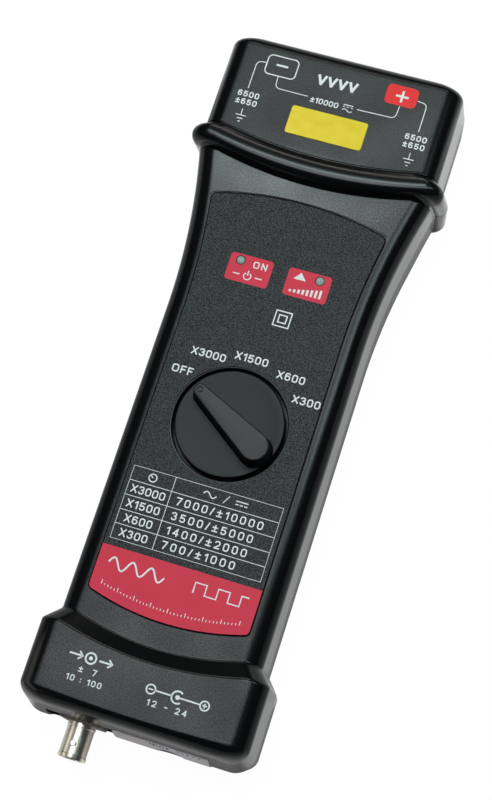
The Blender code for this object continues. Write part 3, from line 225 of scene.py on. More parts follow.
def end_tree(nodes, geometry, look):
    """The end of each tree: real geometry, dressed in its finish."""
    real = nodes.add("GeometryNodeRealizeInstances", {"Geometry": geometry}).outputs["Geometry"]
    dressed = nodes.add("GeometryNodeSetMaterial", {"Geometry": real, "Material": look})
    nodes.add("NodeGroupOutput", {"Geometry": dressed.outputs["Geometry"]})


def grown(source, tree, values):
    """Runs a tree on an object and returns the result as a plain mesh."""
    step = source.modifiers.new(tree.name, "NODES")
    step.node_group = tree
    for item in tree.interface.items_tree:
        if item.in_out == "INPUT" and item.name in values:
            step[item.identifier] = values[item.name]
    result = evaluated(source)
    source.modifiers.remove(step)
    bpy.data.objects.remove(source, do_unlink=True)
    return result


def evaluated(source):
    depsgraph = bpy.context.evaluated_depsgraph_get()
    return bpy.data.meshes.new_from_object(source.evaluated_get(depsgraph))


# ---------------------------------------------------------------- finishes

class Finish(Nodes):
    """The nodes of a new Principled material, with its shader and its object coordinates."""

    def __init__(self, name, roughness, metallic=0.0, **fixed):
        self.material = bpy.data.materials.new(name)
        self.material.use_nodes = True
        super().__init__(self.material.node_tree)
        self.shader = self.tree.nodes["Principled BSDF"]
        self.shader.inputs["Roughness"].default_value = roughness
        self.shader.inputs["Metallic"].default_value = metallic
        for label, value in fixed.items():
            self.shader.inputs[label.replace("_", " ")].default_value = value
        self.place = self.add("ShaderNodeTexCoord").outputs["Object"]

    def noise(self, grain, detail=2.0, roughness=0.5, place=None):
        """Noise whose lumps are about this size across."""
        inputs = {"Vector": place or self.place, "Scale": 1.0 / grain}
        inputs |= {"Detail": detail, "Roughness": roughness}
        return self.add("ShaderNodeTexNoise", inputs).outputs["Fac"]

    def blend(self, factor, one, two):
        """Mixes two colours, each given as three numbers or as a socket."""
        mix = self.add("ShaderNodeMix", {0: factor}, data_type="RGBA")
        for index, colour in ((6, one), (7, two)):
            if isinstance(colour, bpy.types.NodeSocket):
                self.tree.links.new(colour, mix.inputs[index])
            else:
                mix.inputs[index].default_value = (*colour, 1.0)
        return mix.outputs[2]

    def axes(self, place=None):
        return self.add("ShaderNodeSeparateXYZ", {0: place or self.place}).outputs

    def colour(self, value):
        self.feed(self.shader, "Base Color", value)

    def rough(self, value):
        self.feed(self.shader, "Roughness", value)

    def shine(self, value):
        self.feed(self.shader, "Specular IOR Level", value)

    def bump(self, height, depth):
        bump = self.add("ShaderNodeBump", {"Height": height, "Distance": depth, "Strength": 1.0})
        self.feed(self.shader, "Normal", bump.outputs["Normal"])


def flat_share(look):
    """1 on the faces that look straight up or down, 0 on rounded edges, on walls and on the guard ring."""
    normal = look.add("ShaderNodeTexCoord").outputs["Normal"]
    upward = look.axes(normal)["Z"]
    flat = look.spread(look.work("ABSOLUTE", upward), 0.0, 1.0, 0.968, 0.994)
    axes = look.axes()
    low = look.spread(axes["Z"], 1.0, 0.0, HEAD_DEPTH + 0.1 * MM, HEAD_DEPTH + 0.5 * MM)
    behind = look.spread(axes["Y"], 1.0, 0.0, 0.0, MM)
    return look.product(flat, look.work("MAXIMUM", low, behind))


def painted_sheen_share(look):
    """1 where a painted sheen raises the gloss of the grip just under the guard ring, more to the left, 0
    elsewhere: it stands in for the highlight that falls there.
    """
    axes = look.axes()
    near = look.spread(axes["Y"], 0.0, 1.0, GUARD_Y - 34 * MM, GUARD_Y - 12 * MM)
    below = look.spread(axes["Y"], 1.0, 0.0, GUARD_Y - 3 * MM, GUARD_Y + 3 * MM)
    left = look.spread(axes["X"], 1.0, 0.0, 6 * MM, 38 * MM)
    return look.product(near, below, left)


def sparked_plastic(name, colour, lift, roughness, polish, grain, depth):
    """Moulded plastic: its faces grained by a spark-eroded mould, its edges and ring polished."""
    look = Finish(name, roughness)
    fine = look.noise(grain, 3.0, 0.6)
    cloud = look.noise(18 * MM, 2.0)
    flat = flat_share(look)
    glint = look.spread(fine, 0.24, 0.46, 0.36, 0.68)
    # Painted sheen: the specular level is raised under the guard ring to stand in for the highlight there.
    painted_sheen = look.product(glint, painted_sheen_share(look), 1.3)
    shine = look.work("ADD", glint, painted_sheen)
    look.shine(look.spread(flat, 0.3, shine, 0.0, 1.0))
    lighter = [channel + lift for channel in colour]
    tone = look.blend(look.spread(fine, 0.0, 1.0, 0.38, 0.66), colour, lighter)
    worn = [channel * 1.35 for channel in lighter]
    tone = look.blend(look.spread(cloud, 0.0, 0.35, 0.45, 0.75), tone, worn)
    look.colour(look.blend(flat, colour, tone))
    grained = look.spread(cloud, roughness - 0.05, roughness + 0.07)
    look.rough(look.spread(flat, polish, grained, 0.0, 1.0))
    look.bump(look.product(fine, flat), depth)
    return look.material


def overlay_film():
    """Charcoal film with a velvet face, speckled light and dark."""
    look = Finish("overlay_charcoal", 0.5)
    speck = look.noise(0.42 * MM, 1.5, 0.6)
    fine = look.noise(0.45 * MM, 2.0, 0.7)
    grain = look.spread(speck, 0.0, 1.0, 0.4, 0.62)
    tone = look.blend(grain, (0.003, 0.0035, 0.004), (0.036, 0.041, 0.043))
    flecks = look.spread(fine, 0.0, 0.6, 0.55, 0.66)
    look.colour(look.blend(flecks, tone, (0.12, 0.128, 0.13)))
    look.shine(look.spread(speck, 0.1, 0.27, 0.4, 0.62))
    look.rough(look.spread(speck, 0.42, 0.58))
    look.bump(speck, 0.08 * MM)
    return look.material


def ink(name, colour, thin, roughness=0.5, shine=0.22):
    """Screen-printed ink: nearly even, thinner here and there, taking up the film's texture."""
    look = Finish(name, roughness, Specular_IOR_Level=shine)
    fine = look.noise(0.35 * MM, 3.0, 0.7)
    cloud = look.noise(6 * MM, 1.0)
    tone = look.blend(look.spread(fine, 0.0, 1.0, 0.52, 0.78), colour, thin)
    look.colour(look.blend(look.spread(cloud, 0.0, 0.25), tone, thin))
    look.rough(look.spread(fine, roughness - 0.08, roughness + 0.1))
    look.bump(fine, 0.012 * MM)
    return look.material


def clouded(name, colours, roughness, span, cloud, texture, depth, **fixed):
    """Two close colours and a slightly uneven gloss, in soft clouds, over a fine texture."""
    look = Finish(name, roughness, **fixed)
    fine = look.noise(*texture)
    clouds = look.noise(cloud)
    look.colour(look.blend(look.spread(clouds), *colours))
    look.rough(look.spread(clouds, *span))
    look.bump(fine, depth)
    return look.material


def smooth_plastic(name, colour, roughness, depth=0.01 * MM, **fixed):
    """Plainly moulded plastic: faint flow marks, slightly uneven gloss."""
    colours = (colour, [channel * 0.8 for channel in colour])
    span = (roughness - 0.05, roughness + 0.08)
    return clouded(name, colours, roughness, span, 9 * MM, (0.4 * MM, 3.0, 0.6), depth, **fixed)


def dial_plastic():
    """The knob's satin plastic, with a painted highlight that makes the top of the pointer lighter."""
    look = Finish("dial_black", 0.38, Specular_IOR_Level=0.25)
    fine = look.noise(0.5 * MM, 3.0, 0.6)
    cloud = look.noise(14 * MM, 2.0)
    height = look.axes()["Z"]
    pointer_top_highlight = look.spread(height, 0.0, 1.0, GRIP_DEPTH + 6.6 * MM, GRIP_DEPTH + 7.3 * MM)
    black = look.blend(look.spread(cloud), (0.0035, 0.0035, 0.0045), (0.0045, 0.0045, 0.0065))
    # Lighter colour for the pointer's top: a painted highlight of its top face, not wear.
    worn = look.blend(look.spread(fine), (0.007, 0.0075, 0.009), (0.013, 0.0135, 0.015))
    look.colour(look.blend(pointer_top_highlight, black, worn))
    look.shine(look.spread(pointer_top_highlight, 0.17, 0.25, 0.0, 1.0))
    look.rough(look.spread(fine, 0.36, 0.42))
    look.bump(fine, 0.02 * MM)
    return look.material


def plated_metal(name, colour, tint, roughness, grain=0.5 * MM, stretch=(1.0, 1.0, 1.0), depth=0.008 * MM):
    """Plated or plain metal with fine drawn lines, their direction set by the stretch."""
    look = Finish(name, roughness, 1.0)
    mapped = look.add("ShaderNodeMapping", {"Vector": look.place, "Scale": stretch}).outputs["Vector"]
    lines = look.noise(grain, 4.0, 0.6, mapped)
    cloud = look.noise(4 * MM, 2.0)
    look.colour(look.blend(look.spread(cloud), colour, tint))
    look.rough(look.spread(lines, roughness - 0.05, roughness + 0.07))
    look.bump(lines, depth)
    return look.material


def board_lacquer():
    """Green solder mask with copper runs showing through it as raised, lighter lines."""
    look = Finish("board_green", 0.35)
    cells = look.add(
        "ShaderNodeTexBrick",
        {"Vector": look.place, "Scale": 160.0, "Mortar Size": 0.06, "Brick Width": 0.9, "Row Height": 0.45},
    )
    fine = look.noise(0.6 * MM)
    runs = look.spread(cells.outputs["Fac"], 0.0, 1.0, 0.0, 1.0)
    green = look.blend(look.spread(fine), (0.016, 0.12, 0.045), (0.024, 0.16, 0.06))
    look.colour(look.blend(runs, green, (0.06, 0.27, 0.11)))
    look.bump(runs, 0.03 * MM)
    return look.material


def banded_lacquer():
    """Blue resistor lacquer, mottled, with a few darker rings round the body."""
    look = Finish("resistor_blue", 0.4)
    inputs = {"Vector": look.place, "Scale": 130.0, "Distortion": 0.0}
    rings = look.add("ShaderNodeTexWave", inputs, wave_type="BANDS", bands_direction="Y").outputs["Fac"]
    mottle = look.noise(1.2 * MM)
    blue = look.blend(look.spread(mottle), (0.05, 0.12, 0.28), (0.09, 0.18, 0.36))
    look.colour(look.blend(look.spread(rings, 0.0, 0.8, 0.86, 0.92), blue, (0.2, 0.09, 0.03)))
    look.bump(mottle, 0.03 * MM)
    return look.material


def ribbed_cable():
    """Flat grey cable, its wires side by side along X."""
    look = Finish("ribbon_grey", 0.5)
    inputs = {"Vector": look.place, "Scale": 125.0, "Distortion": 0.0}
    ribs = look.add("ShaderNodeTexWave", inputs, wave_type="BANDS", bands_direction="X").outputs["Fac"]
    dust = look.noise(2 * MM)
    grey = look.blend(look.spread(dust), (0.42, 0.42, 0.43), (0.34, 0.34, 0.35))
    # Darker along the grooves between the wires: painted shade.
    look.colour(look.blend(look.spread(ribs, 0.0, 0.5, 0.1, 0.4), (0.2, 0.2, 0.21), grey))
    look.bump(ribs, 0.2 * MM)
    return look.material


def lamp_resin():
    """Unlit lamp resin: frosted, cloudy grey-green."""
    colours = ((0.36, 0.47, 0.42), (0.25, 0.34, 0.3))
    haze = 1.1 * MM
    return clouded(
        "lamp_lens", colours, 0.55, (0.42, 0.58), haze, (haze,), 0.01 * MM, Specular_IOR_Level=0.2
    )


def sticker_film():
    """Yellow label film, a little uneven where it was pressed on."""
    colours = ((0.9, 0.69, 0.02), (0.84, 0.64, 0.018))
    texture = (0.4 * MM,)
    return clouded(
        "sticker_yellow", colours, 0.45, (0.38, 0.52), 5 * MM, texture, 0.01 * MM, Specular_IOR_Level=0.22
    )


FINISHES = {
    "shell_black": sparked_plastic(
        "shell_black", (0.0035, 0.004, 0.0045), 0.004, 0.36, 0.22, 0.5 * MM, 0.075 * MM
    ),
    "moulded_black": smooth_plastic("moulded_black", (0.007, 0.0068, 0.009), 0.38, Specular_IOR_Level=0.28),
    "red_insulator": smooth_plastic("red_insulator", (0.5, 0.018, 0.02), 0.32),
    "overlay_charcoal": overlay_film(),
    "sticker_yellow": sticker_film(),
    "pale_plastic": smooth_plastic("pale_plastic", (0.93, 0.87, 0.93), 0.45),
    "white_insulator": smooth_plastic("white_insulator", (0.8, 0.8, 0.77), 0.35, Subsurface_Weight=0.05),
    "dial_black": dial_plastic(),
    "housing_beige": smooth_plastic("housing_beige", (0.2, 0.17, 0.13), 0.45),
    "nickel": plated_metal(
        "nickel", (0.88, 0.84, 0.76), (0.8, 0.75, 0.65), 0.3, 0.6 * MM, (1.0, 0.15, 1.0), 0.002 * MM
    ),
    "steel": plated_metal("steel", (0.56, 0.56, 0.57), (0.47, 0.47, 0.49), 0.32),
    "brass": plated_metal("brass", (0.78, 0.6, 0.3), (0.66, 0.49, 0.22), 0.26),
    "board_green": board_lacquer(),
    "lamp_lens": lamp_resin(),
    "resistor_blue": banded_lacquer(),
    "ribbon_grey": ribbed_cable(),
}
WHITE_INK = ink("white_ink", (0.86, 0.88, 0.88), (0.66, 0.69, 0.69))
CRIMSON_INK = ink("crimson_ink", (0.72, 0.03, 0.068), (0.6, 0.026, 0.056))
RED_INK = ink("red_ink", (0.88, 0.02, 0.018), (0.74, 0.016, 0.014), 0.42)
# Near-black ink for the painted shade in the groove round the overlay.
GROOVE_SHADE_INK = ink("groove_shade_ink", (0.0015, 0.002, 0.0025), (0.003, 0.0035, 0.004), 0.6, 0.03)
DARK_INK = ink("dark_ink", (0.03, 0.028, 0.035), (0.07, 0.065, 0.08))


# ---------------------------------------------------------------- shapes

def mesh_object(name, source, look=None, sharp=35.0):
    """An object of a mesh or a bmesh, its doubles merged, its faces out and its round parts smooth."""
    bm = source
    if isinstance(source, bpy.types.Mesh):
        bm = bmesh.new()
        bm.from_mesh(source)
        bpy.data.meshes.remove(source)
    bmesh.ops.remove_doubles(bm, verts=bm.verts, dist=WELD)
    bmesh.ops.recalc_face_normals(bm, faces=bm.faces)
    mesh = bpy.data.meshes.new(name)
    bm.to_mesh(mesh)
    bm.free()
    mesh.shade_smooth()
    mesh.set_sharp_from_angle(angle=math.radians(sharp))
    made = bpy.data.objects.new(name, mesh)
    bpy.context.scene.collection.objects.link(made)
    if look:
        mesh.materials.append(look)
    return made


def combined(name, target, steps, look=None, sharp=35.0):
    """Joins or cuts other objects, in order, and returns the result as one plain mesh object."""
    for operation, other in steps:
        change = target.modifiers.new(other.name, "BOOLEAN")
        change.operation = operation
        change.object = other
        other.hide_render = True
    result = evaluated(target)
    result.materials.clear()
    for used in [other for _, other in steps] + [target]:
        bpy.data.objects.remove(used, do_unlink=True)
    return mesh_object(name, result, look, sharp)


def join(*others):
    return [("UNION", other) for other in others]


def cut(*others):
    return [("DIFFERENCE", other) for other in others]


def rounded(corners, closed=True, steps=6):
    """The outline through (x, y, radius) corners, each turned into an arc of its radius."""
    points = []
    for index, (x, y, radius) in enumerate(corners):
        here = Vector((x, y))
        if radius <= 0 or (not closed and index in (0, len(corners) - 1)):
            points.append(here)
            continue
        before = (Vector(corners[index - 1][:2]) - here).normalized()
        after = (Vector(corners[(index + 1) % len(corners)][:2]) - here).normalized()
        half = before.angle(after) / 2
        centre = here + (before + after).normalized() * radius / math.sin(half)
        start = here + before * radius / math.tan(half) - centre
        end = here + after * radius / math.tan(half) - centre
        turn = math.atan2(start.x * end.y - start.y * end.x, start.dot(end))
        for step in range(steps + 1):
            angle = turn * step / steps
            across = Vector((-start.y, start.x))
            points.append(centre + start * math.cos(angle) + across * math.sin(angle))
    return points


def quarter(steps):
    """Angles through a quarter turn."""
    return [math.pi / 2 * step / steps for step in range(steps + 1)]


def rectangle(x0, y0, x1, y1, radius=0.0):
    return rounded([(x0, y0, radius), (x1, y0, radius), (x1, y1, radius), (x0, y1, radius)])


def circle(radius, x=0.0, y=0.0, sides=48):
    steps = [2 * math.pi * index / sides for index in range(sides)]
    return [Vector((x + radius * math.cos(a), y + radius * math.sin(a))) for a in steps]


def prism(outline, low, high, chamfer=0.0):
    """Raises an outline along Z, with a small chamfer round its top."""
    bm = bmesh.new()
    levels = [(low, 0.0), (high - chamfer, 0.0)]
    if chamfer:
        levels.append((high, chamfer))
    rings = [[bm.verts.new((x, y, z)) for x, y in inset(outline, amount)] for z, amount in levels]
    return skinned(bm, rings)


def skinned(bm, rings):
    """Closes a stack of rings, each with the same number of points, into one solid."""
    for one, two in zip(rings, rings[1:]):
        for index in range(len(one)):
            after = (index + 1) % len(one)
            bm.faces.new((one[index], one[after], two[after], two[index]))
    bm.faces.new(rings[0])
    bm.faces.new(rings[-1])
    return bm


def inset(outline, amount):
    """Moves each point of a counter-clockwise outline in by an amount."""
    if not amount:
        return outline
    moved = []
    count = len(outline)
    for index, point in enumerate(outline):
        along = (Vector(outline[(index + 1) % count]) - Vector(outline[index - 1])).normalized()
        moved.append(Vector(point) + Vector((-along.y, along.x)) * amount)
    return moved


def block(name, low, high, look=None, edge=0.0):
    """A box with softened upright edges and a chamfered top."""
    outline = rectangle(low[0], low[1], high[0], high[1], edge)
    return mesh_object(name, prism(outline, low[2], high[2], edge / 2), look)


def turning_tree():
    """Turns a profile about Z. The profile's X is a radius less the core, and its Y is minus a height."""
    sizes = {"Sides": "NodeSocketInt", "Core": "NodeSocketFloat", "Finish": "NodeSocketMaterial"}
    tree, nodes, given = geometry_tree("turned_profile", sizes)
    profile = nodes.add("GeometryNodeMeshToCurve", {"Mesh": given["Geometry"]})
    circle_sizes = {"Resolution": given["Sides"], "Radius": given["Core"]}
    ring = nodes.add("GeometryNodeCurvePrimitiveCircle", circle_sizes)
    curves = {"Curve": ring.outputs["Curve"], "Profile Curve": profile.outputs["Curve"]}
    swept = nodes.add("GeometryNodeCurveToMesh", curves)
    doubles = {"Geometry": swept.outputs["Mesh"], "Distance": WELD}
    welded = nodes.add("GeometryNodeMergeByDistance", doubles)
    end_tree(nodes, welded.outputs["Geometry"], given["Finish"])
    return tree


def wire(name, points, edges):
    """An object of bare points and edges, for a tree to work on."""
    mesh = bpy.data.meshes.new(name)
    mesh.from_pydata(points, edges, [])
    made = bpy.data.objects.new(name, mesh)
    bpy.context.scene.collection.objects.link(made)
    return made


TURNING = turning_tree()
TURNING_CORE = 1.0 * MM
UPRIGHT = Matrix.Identity(4)
ALONG_Y = Matrix.Rotation(-math.pi / 2, 4, "X")
AGAINST_Y = Matrix.Rotation(math.pi / 2, 4, "X")
FACING_DOWN = Matrix.Rotation(math.pi, 4, "X")


def turned(name, profile, place=(0, 0, 0), turn=UPRIGHT, sides=48, look=None, closed=False, sharp=35.0):
    """A piece turned from (radius, height) points. A closed profile makes a ring."""
    points = [(radius - TURNING_CORE, -height, 0) for radius, height in profile]
    edges = [(index, index + 1) for index in range(len(points) - 1)]
    if closed:
        edges.append((len(points) - 1, 0))
    values = {"Sides": sides, "Core": TURNING_CORE, "Finish": look or FINISHES["steel"]}
    made = mesh_object(name, grown(wire(name + "_profile", points, edges), TURNING, values), look, sharp)
    made.data.transform(Matrix.Translation(place) @ turn)
    return made


def round_cutter(name, radius, low, high, x=0.0, y=0.0, sides=48):
    return turned(name, [(0, low), (radius, low), (radius, high), (0, high)], (x, y, 0), sides=sides)


def lipped_cutter(name, radius, low, surface, x=0.0, y=0.0, lip=LIP, sides=96):
    """A round cutter that leaves a softened edge where it meets the surface."""
    profile = [(0, low), (radius, low), (radius, surface - lip)]
    for a in (0.4, 0.8, 1.2, math.pi / 2):
        profile.append((radius + lip * (1 - math.cos(a)), surface - lip + lip * math.sin(a)))
    profile += [(radius + lip, ABOVE_ALL), (0, ABOVE_ALL)]
    return turned(name, profile, (x, y, 0), sides=sides)


def lamp_holes(name, margin, sides=48):
    """Two round cutters where the lamps stand, wider than the lamps by a margin."""
    radius = LAMP_RADIUS + margin
    return [
        round_cutter(f"{name}_{sign}", radius, PARTING_Z, ABOVE_ALL, sign * LAMP_X, LAMP_Y, sides)
        for sign in (-1, 1)
    ]


def cross_cutter(name, radius, y0, y1, x, z=PARTING_Z, sides=48):
    return turned(name, [(0, y0), (radius, y0), (radius, y1), (0, y1)], (x, 0, z), ALONG_Y, sides)


def settle(piece, body, slot, *nodes):
    """Hands a finished piece over: its body and the nodes it stands for. The slot argument is not used."""
    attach(piece, body)
    if nodes:
        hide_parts(*nodes)
    return piece


def built(name, blank, steps, slot, *nodes, look=None, sharp=35.0, rides=BODY):
    """A piece joined and cut in steps, in its slot's finish unless it's given another."""
    made = combined(name, blank, steps, look or FINISHES[slot], sharp)
    return settle(made, rides, slot, *nodes)


def scaled(profile):
    return [(radius * MM, height * MM) for radius, height in profile]


def turned_piece(name, profile, place, turn, sides, slot, node, closed=False):
    """A turned piece of the body, from a profile in millimetres."""
    made = turned(name, scaled(profile), place, turn, sides, FINISHES[slot], closed)
    return settle(made, BODY, slot, node)


# ---------------------------------------------------------------- the two shells

def corner_loss(distance, radius):
    if distance >= radius:
        return 0.0
    return radius - math.sqrt(max(radius**2 - (radius - distance) ** 2, 0.0))


def guard_bump(y, band):
    """The guard ring's round section, from 0 at its feet to 1 at its crest."""
    off = (y - GUARD_Y) / (band / 2)
    return math.sqrt(1 - off**2) if abs(off) < 1 else 0.0


def crease(y, band):
    """Depth of the fine grooves along the ring's feet."""
    past = abs(y - GUARD_Y) - band / 2
    if not 0 <= past < CREASE_WIDTH:
        return 0.0
    return CREASE * math.sin(math.pi * (1 - past / CREASE_WIDTH) ** 0.6)


def guard_lean(y):
    """How far the side walls near the ring are shifted along the body at the parting line."""
    off = (y - GUARD_Y) / GUARD_LEAN_REACH
    return GUARD_LEAN * (1 - off**2) ** 2 if abs(off) < 1 else 0.0


def flare_half(y):
    return GRIP_WIDTH / 2 + max(y - FLARE_Y, 0.0) ** 2 / (2 * FLARE_RADIUS)


def eased(level, y):
    """A stepped level with its corners rounded: its mean over a short stretch."""
    reach = [SOFT_EDGE * step / 6 for step in range(-6, 7)]
    return sum(level(y + offset) for offset in reach) / len(reach)


def plain_half(y):
    if y < BASE_Y:
        return BASE_WIDTH / 2
    if y < GRIP_Y:
        return BASE_WIDTH / 2 + (GRIP_WIDTH - BASE_WIDTH) / 2 * (y - BASE_Y) / BASE_SLOPE
    return flare_half(y)


def plain_face(y):
    if y < BASE_Y:
        return BASE_DEPTH
    if y < GRIP_Y:
        return BASE_DEPTH - BASE_RISE * (y - BASE_Y) / BASE_SLOPE
    return GRIP_DEPTH


def half_width(y, margin, guard):
    half = eased(plain_half, y) if y < GUARD_Y else HEAD_WIDTH / 2
    if guard:
        half += (GUARD_WIDTH / 2 - half) * guard_bump(y, GUARD_SIDE_BAND) - crease(y, GUARD_SIDE_BAND)
    end = min(y - OUT_Y - margin, IN_Y - margin - y)
    return half - margin - corner_loss(max(end, 0.0), CORNER - margin / 2)


def face_height(y, margin, guard):
    face = eased(plain_face, y) if y < GUARD_Y else HEAD_DEPTH
    if guard:
        face += (GRIP_DEPTH + GUARD_RISE - face) * guard_bump(y, GUARD_BAND) - crease(y, GUARD_BAND)
    return face - PARTING_Z - margin


def sag(y):
    if y > GUARD_Y:
        return ARC_SAG * (IN_Y - y) / (IN_Y - GUARD_Y)
    if y < BASE_Y:
        return ARC_SAG * (y - OUT_Y) / (BASE_Y - OUT_Y)
    return ARC_SAG


def stretch(start, end, step):
    count = max(1, math.ceil((end - start) / step - 0.001))
    return [start + (end - start) * index / count for index in range(count)]


def section_rows(margin, guard, fine):
    """Where the sections stand along the body, close together wherever its form turns."""
    low = OUT_Y + margin
    high = IN_Y - margin
    corner = CORNER - margin / 2
    turn = 6 if fine else 22.5
    ends = [corner * (1 - math.cos(math.radians(turn * step))) for step in range(int(90 / turn) + 1)]
    rows = [low + step for step in ends[:-1]]
    soft = SOFT_EDGE * 1.25
    small = soft / 5 if fine else soft
    large = 3.0 * MM if fine else 20.0 * MM
    rows += stretch(low + corner, BASE_Y - soft, large)
    rows += stretch(BASE_Y - soft, BASE_Y + soft, small)
    rows += stretch(BASE_Y + soft, GRIP_Y - soft, 1.0 * MM)
    rows += stretch(GRIP_Y - soft, GRIP_Y + soft, small)
    rows += stretch(GRIP_Y + soft, FLARE_Y, large)
    reach = GUARD_BAND / 2 + CREASE_WIDTH
    rows += stretch(FLARE_Y, GUARD_Y - reach, large / 2)
    if guard:
        rows += guard_rows()
    else:
        rows += [GUARD_Y - GUARD_BAND / 2, GUARD_Y + GUARD_BAND / 2]
    rows += stretch(GUARD_Y + reach + 0.1 * MM, high - corner, large)
    return rows + [high - step for step in reversed(ends)]


def guard_rows():
    """Rows over the ring, closest at the feet of its two bands and in the grooves along them."""
    offs = set()
    for band in (GUARD_BAND / 2, GUARD_SIDE_BAND / 2):
        offs.update(band * math.cos(math.radians(angle)) for angle in range(0, 91, 6))
        offs.update(band + CREASE_WIDTH * share for share in (0.02, 0.12, 0.25, 0.4, 0.6, 0.8, 1.0))
    ordered = sorted(offs | {-off for off in offs})
    kept = [ordered[0]]
    for off in ordered[1:]:
        if off - kept[-1] > 0.015 * MM:
            kept.append(off)
    return [GUARD_Y + off for off in kept]


def section(y, side, margin, guard, fine):
    """One row of points: up one side, over the rounded edge, across the face and down again."""
    edge = max((FRONT_EDGE if side > 0 else REAR_EDGE) - margin, 1.0 * MM)
    top = face_height(y, margin, guard) if side > 0 else PARTING_Z - margin
    end = min(y - OUT_Y - margin, IN_Y - margin - y)
    top -= corner_loss(max(end, 0.0), edge)
    half = half_width(y, margin, guard)
    shoulder = top - edge
    profile = [(half, SPLIT / 2)]
    if fine:
        profile += [(half - SIDE_DRAFT * shoulder * share, shoulder * share) for share in (0.35, 0.7)]
    for angle in range(0, 91, 6 if fine else 30):
        turn = math.radians(angle)
        out = half - SIDE_DRAFT * shoulder - edge + edge * math.cos(turn)
        profile.append((out, shoulder + edge * math.sin(turn)))
    face = profile[-1][0]
    fade = max(1 - max(end, 0.0) / CORNER, 0.0)
    towards = 1 if y > 0 else -1
    lean = guard_lean(y)
    right = []
    for out, up in profile:
        shift = lean * max(1 - up / shoulder, 0.0) if side > 0 else lean
        right.append((out, y + shift - towards * END_DRAFT * fade * up, PARTING_Z + side * up))
    across = []
    steps = 28 if fine else 6
    for step in range(1, steps):
        share = 1 - 2 * step / steps
        drop = sag(y) * (1 - share**2) if side > 0 else 0.0
        back = towards * END_DRAFT * fade * top
        shift = 0.0 if side > 0 else lean
        across.append((face * share, y + shift - drop - back, PARTING_Z + side * top))
    left = [(-x, along, z) for x, along, z in reversed(right)]
    return right + across + left


def body_form(name, side, margin, guard, fine):
    bm = bmesh.new()
    rows = section_rows(margin, guard, fine)
    rings = [[bm.verts.new(point) for point in section(y, side, margin, guard, fine)] for y in rows]
    return mesh_object(name, skinned(bm, rings), None, 28.0)


SCREW_INSET = 7.2 * MM  # from the body's side
HEAD_SCREW_X = HEAD_WIDTH / 2 - SCREW_INSET
BASE_SCREW_X = BASE_WIDTH / 2 - SCREW_INSET
CASE_SCREWS = [
    (-HEAD_SCREW_X, IN_Y - 22.0 * MM),
    (HEAD_SCREW_X, IN_Y - 22.0 * MM),
    (-BASE_SCREW_X, OUT_Y + 14.0 * MM),
    (BASE_SCREW_X, OUT_Y + 14.0 * MM),
]
SCREW_BOSS = 3.9 * MM
SCREW_RADIUS = 1.5 * MM
SCREW_HEAD_RADIUS = 2.8 * MM
SCREW_HEAD_HEIGHT = 2.0 * MM
SCREW_SEAT_Z = 12.0 * MM
PILOT_TOP = 30.7 * MM


def end_openings(tag):
    """Cutters for the openings that the two shells share."""
    jacks = [
        cross_cutter(f"{tag}_jack_{sign}", JACK_RADIUS + GAP, IN_Y - 8 * MM, IN_Y + 2 * MM, sign * JACK_X)
        for sign in (-1, 1)
    ]
    inside = OUT_Y + 7 * MM
    window = block(
        f"{tag}_window",
        (WINDOW[0], OUT_Y - MM, PARTING_Z - WINDOW_HALF_HEIGHT),
        (WINDOW[1], inside, PARTING_Z + WINDOW_HALF_HEIGHT),
    )
    supply = cross_cutter(f"{tag}_supply", SUPPLY_HOLE, OUT_Y - MM, inside, SUPPLY_X)
    return cut(*jacks, window, supply)


def overlay_outline(grow):
    """The overlay's outline: it follows the flare at its sides, and its ends are arcs."""
    low = OVERLAY_LOW - grow
    high = OVERLAY_HIGH + grow
    sides = stretch(FLARE_Y, high, 4 * MM)
    right = [(flare_half(y) - OVERLAY_MARGIN + grow, y, 0.0) for y in sides]
    top_half = flare_half(high) - OVERLAY_MARGIN + grow
    low_half = flare_half(low) - OVERLAY_MARGIN + grow
    shares = [1 - index / 10 for index in range(1, 20)]
    top = [(top_half * share, high + ARC_SAG * (1 - share**2), 0.0) for share in shares]
    bottom = [(-low_half * share, low - ARC_SAG * (1 - share**2), 0.0) for share in shares]
    left = [(-x, y, 0.0) for x, y, _ in reversed(right)]
    corners = [(low_half, low, 2.0 * MM)] + right + [(top_half, high, 2.4 * MM)] + top
    corners += [(-top_half, high, 2.4 * MM)] + left + [(-low_half, low, 2.0 * MM)] + bottom
    return rounded(corners)


def front_shell():
    outer = body_form("front_form", 1, 0.0, True, True)
    cavity = body_form("front_cavity", 1, WALL, False, False)
    cavity.data.transform(Matrix.Translation((0, 0, -SPLIT)))
    inner_z = GRIP_DEPTH - WALL + OVERLAP
    cup = round_cutter("cup", CUP_RADIUS + CUP_WALL, CUP_FLOOR_Z - CUP_WALL, inner_z, 0, DIAL_Y, 96)
    steps = cut(cavity) + join(cup)
    for index, (x, y) in enumerate(CASE_SCREWS):
        top = (HEAD_DEPTH if y > 0 else BASE_DEPTH) - WALL + 0.2 * OVERLAP
        steps += join(round_cutter(f"boss_{index}", SCREW_BOSS, PARTING_Z + SPLIT / 2, top, x, y, 24))
    steps += cut(lipped_cutter("cup_hollow", CUP_RADIUS, CUP_FLOOR_Z, GRIP_DEPTH - OVERLAY_RECESS, 0, DIAL_Y))
    steps += cut(round_cutter("bush_hole", BUSH_HOLE, PARTING_Z, ABOVE_ALL, 0, DIAL_Y, 32))
    steps += cut(*lamp_holes("lamp_hole", 2 * GAP, 32))
    recess = prism(overlay_outline(1.4 * GAP), GRIP_DEPTH - OVERLAY_RECESS, ABOVE_ALL)
    steps += cut(mesh_object("overlay_recess", recess))
    for index, (x, y) in enumerate(CASE_SCREWS):
        steps += cut(round_cutter(f"pilot_{index}", SCREW_RADIUS + GAP, SCREW_SEAT_Z, PILOT_TOP, x, y, 16))
    steps += end_openings("front")
    return built("front_shell_moulding", outer, steps, "shell_black", "front_shell", sharp=30.0)


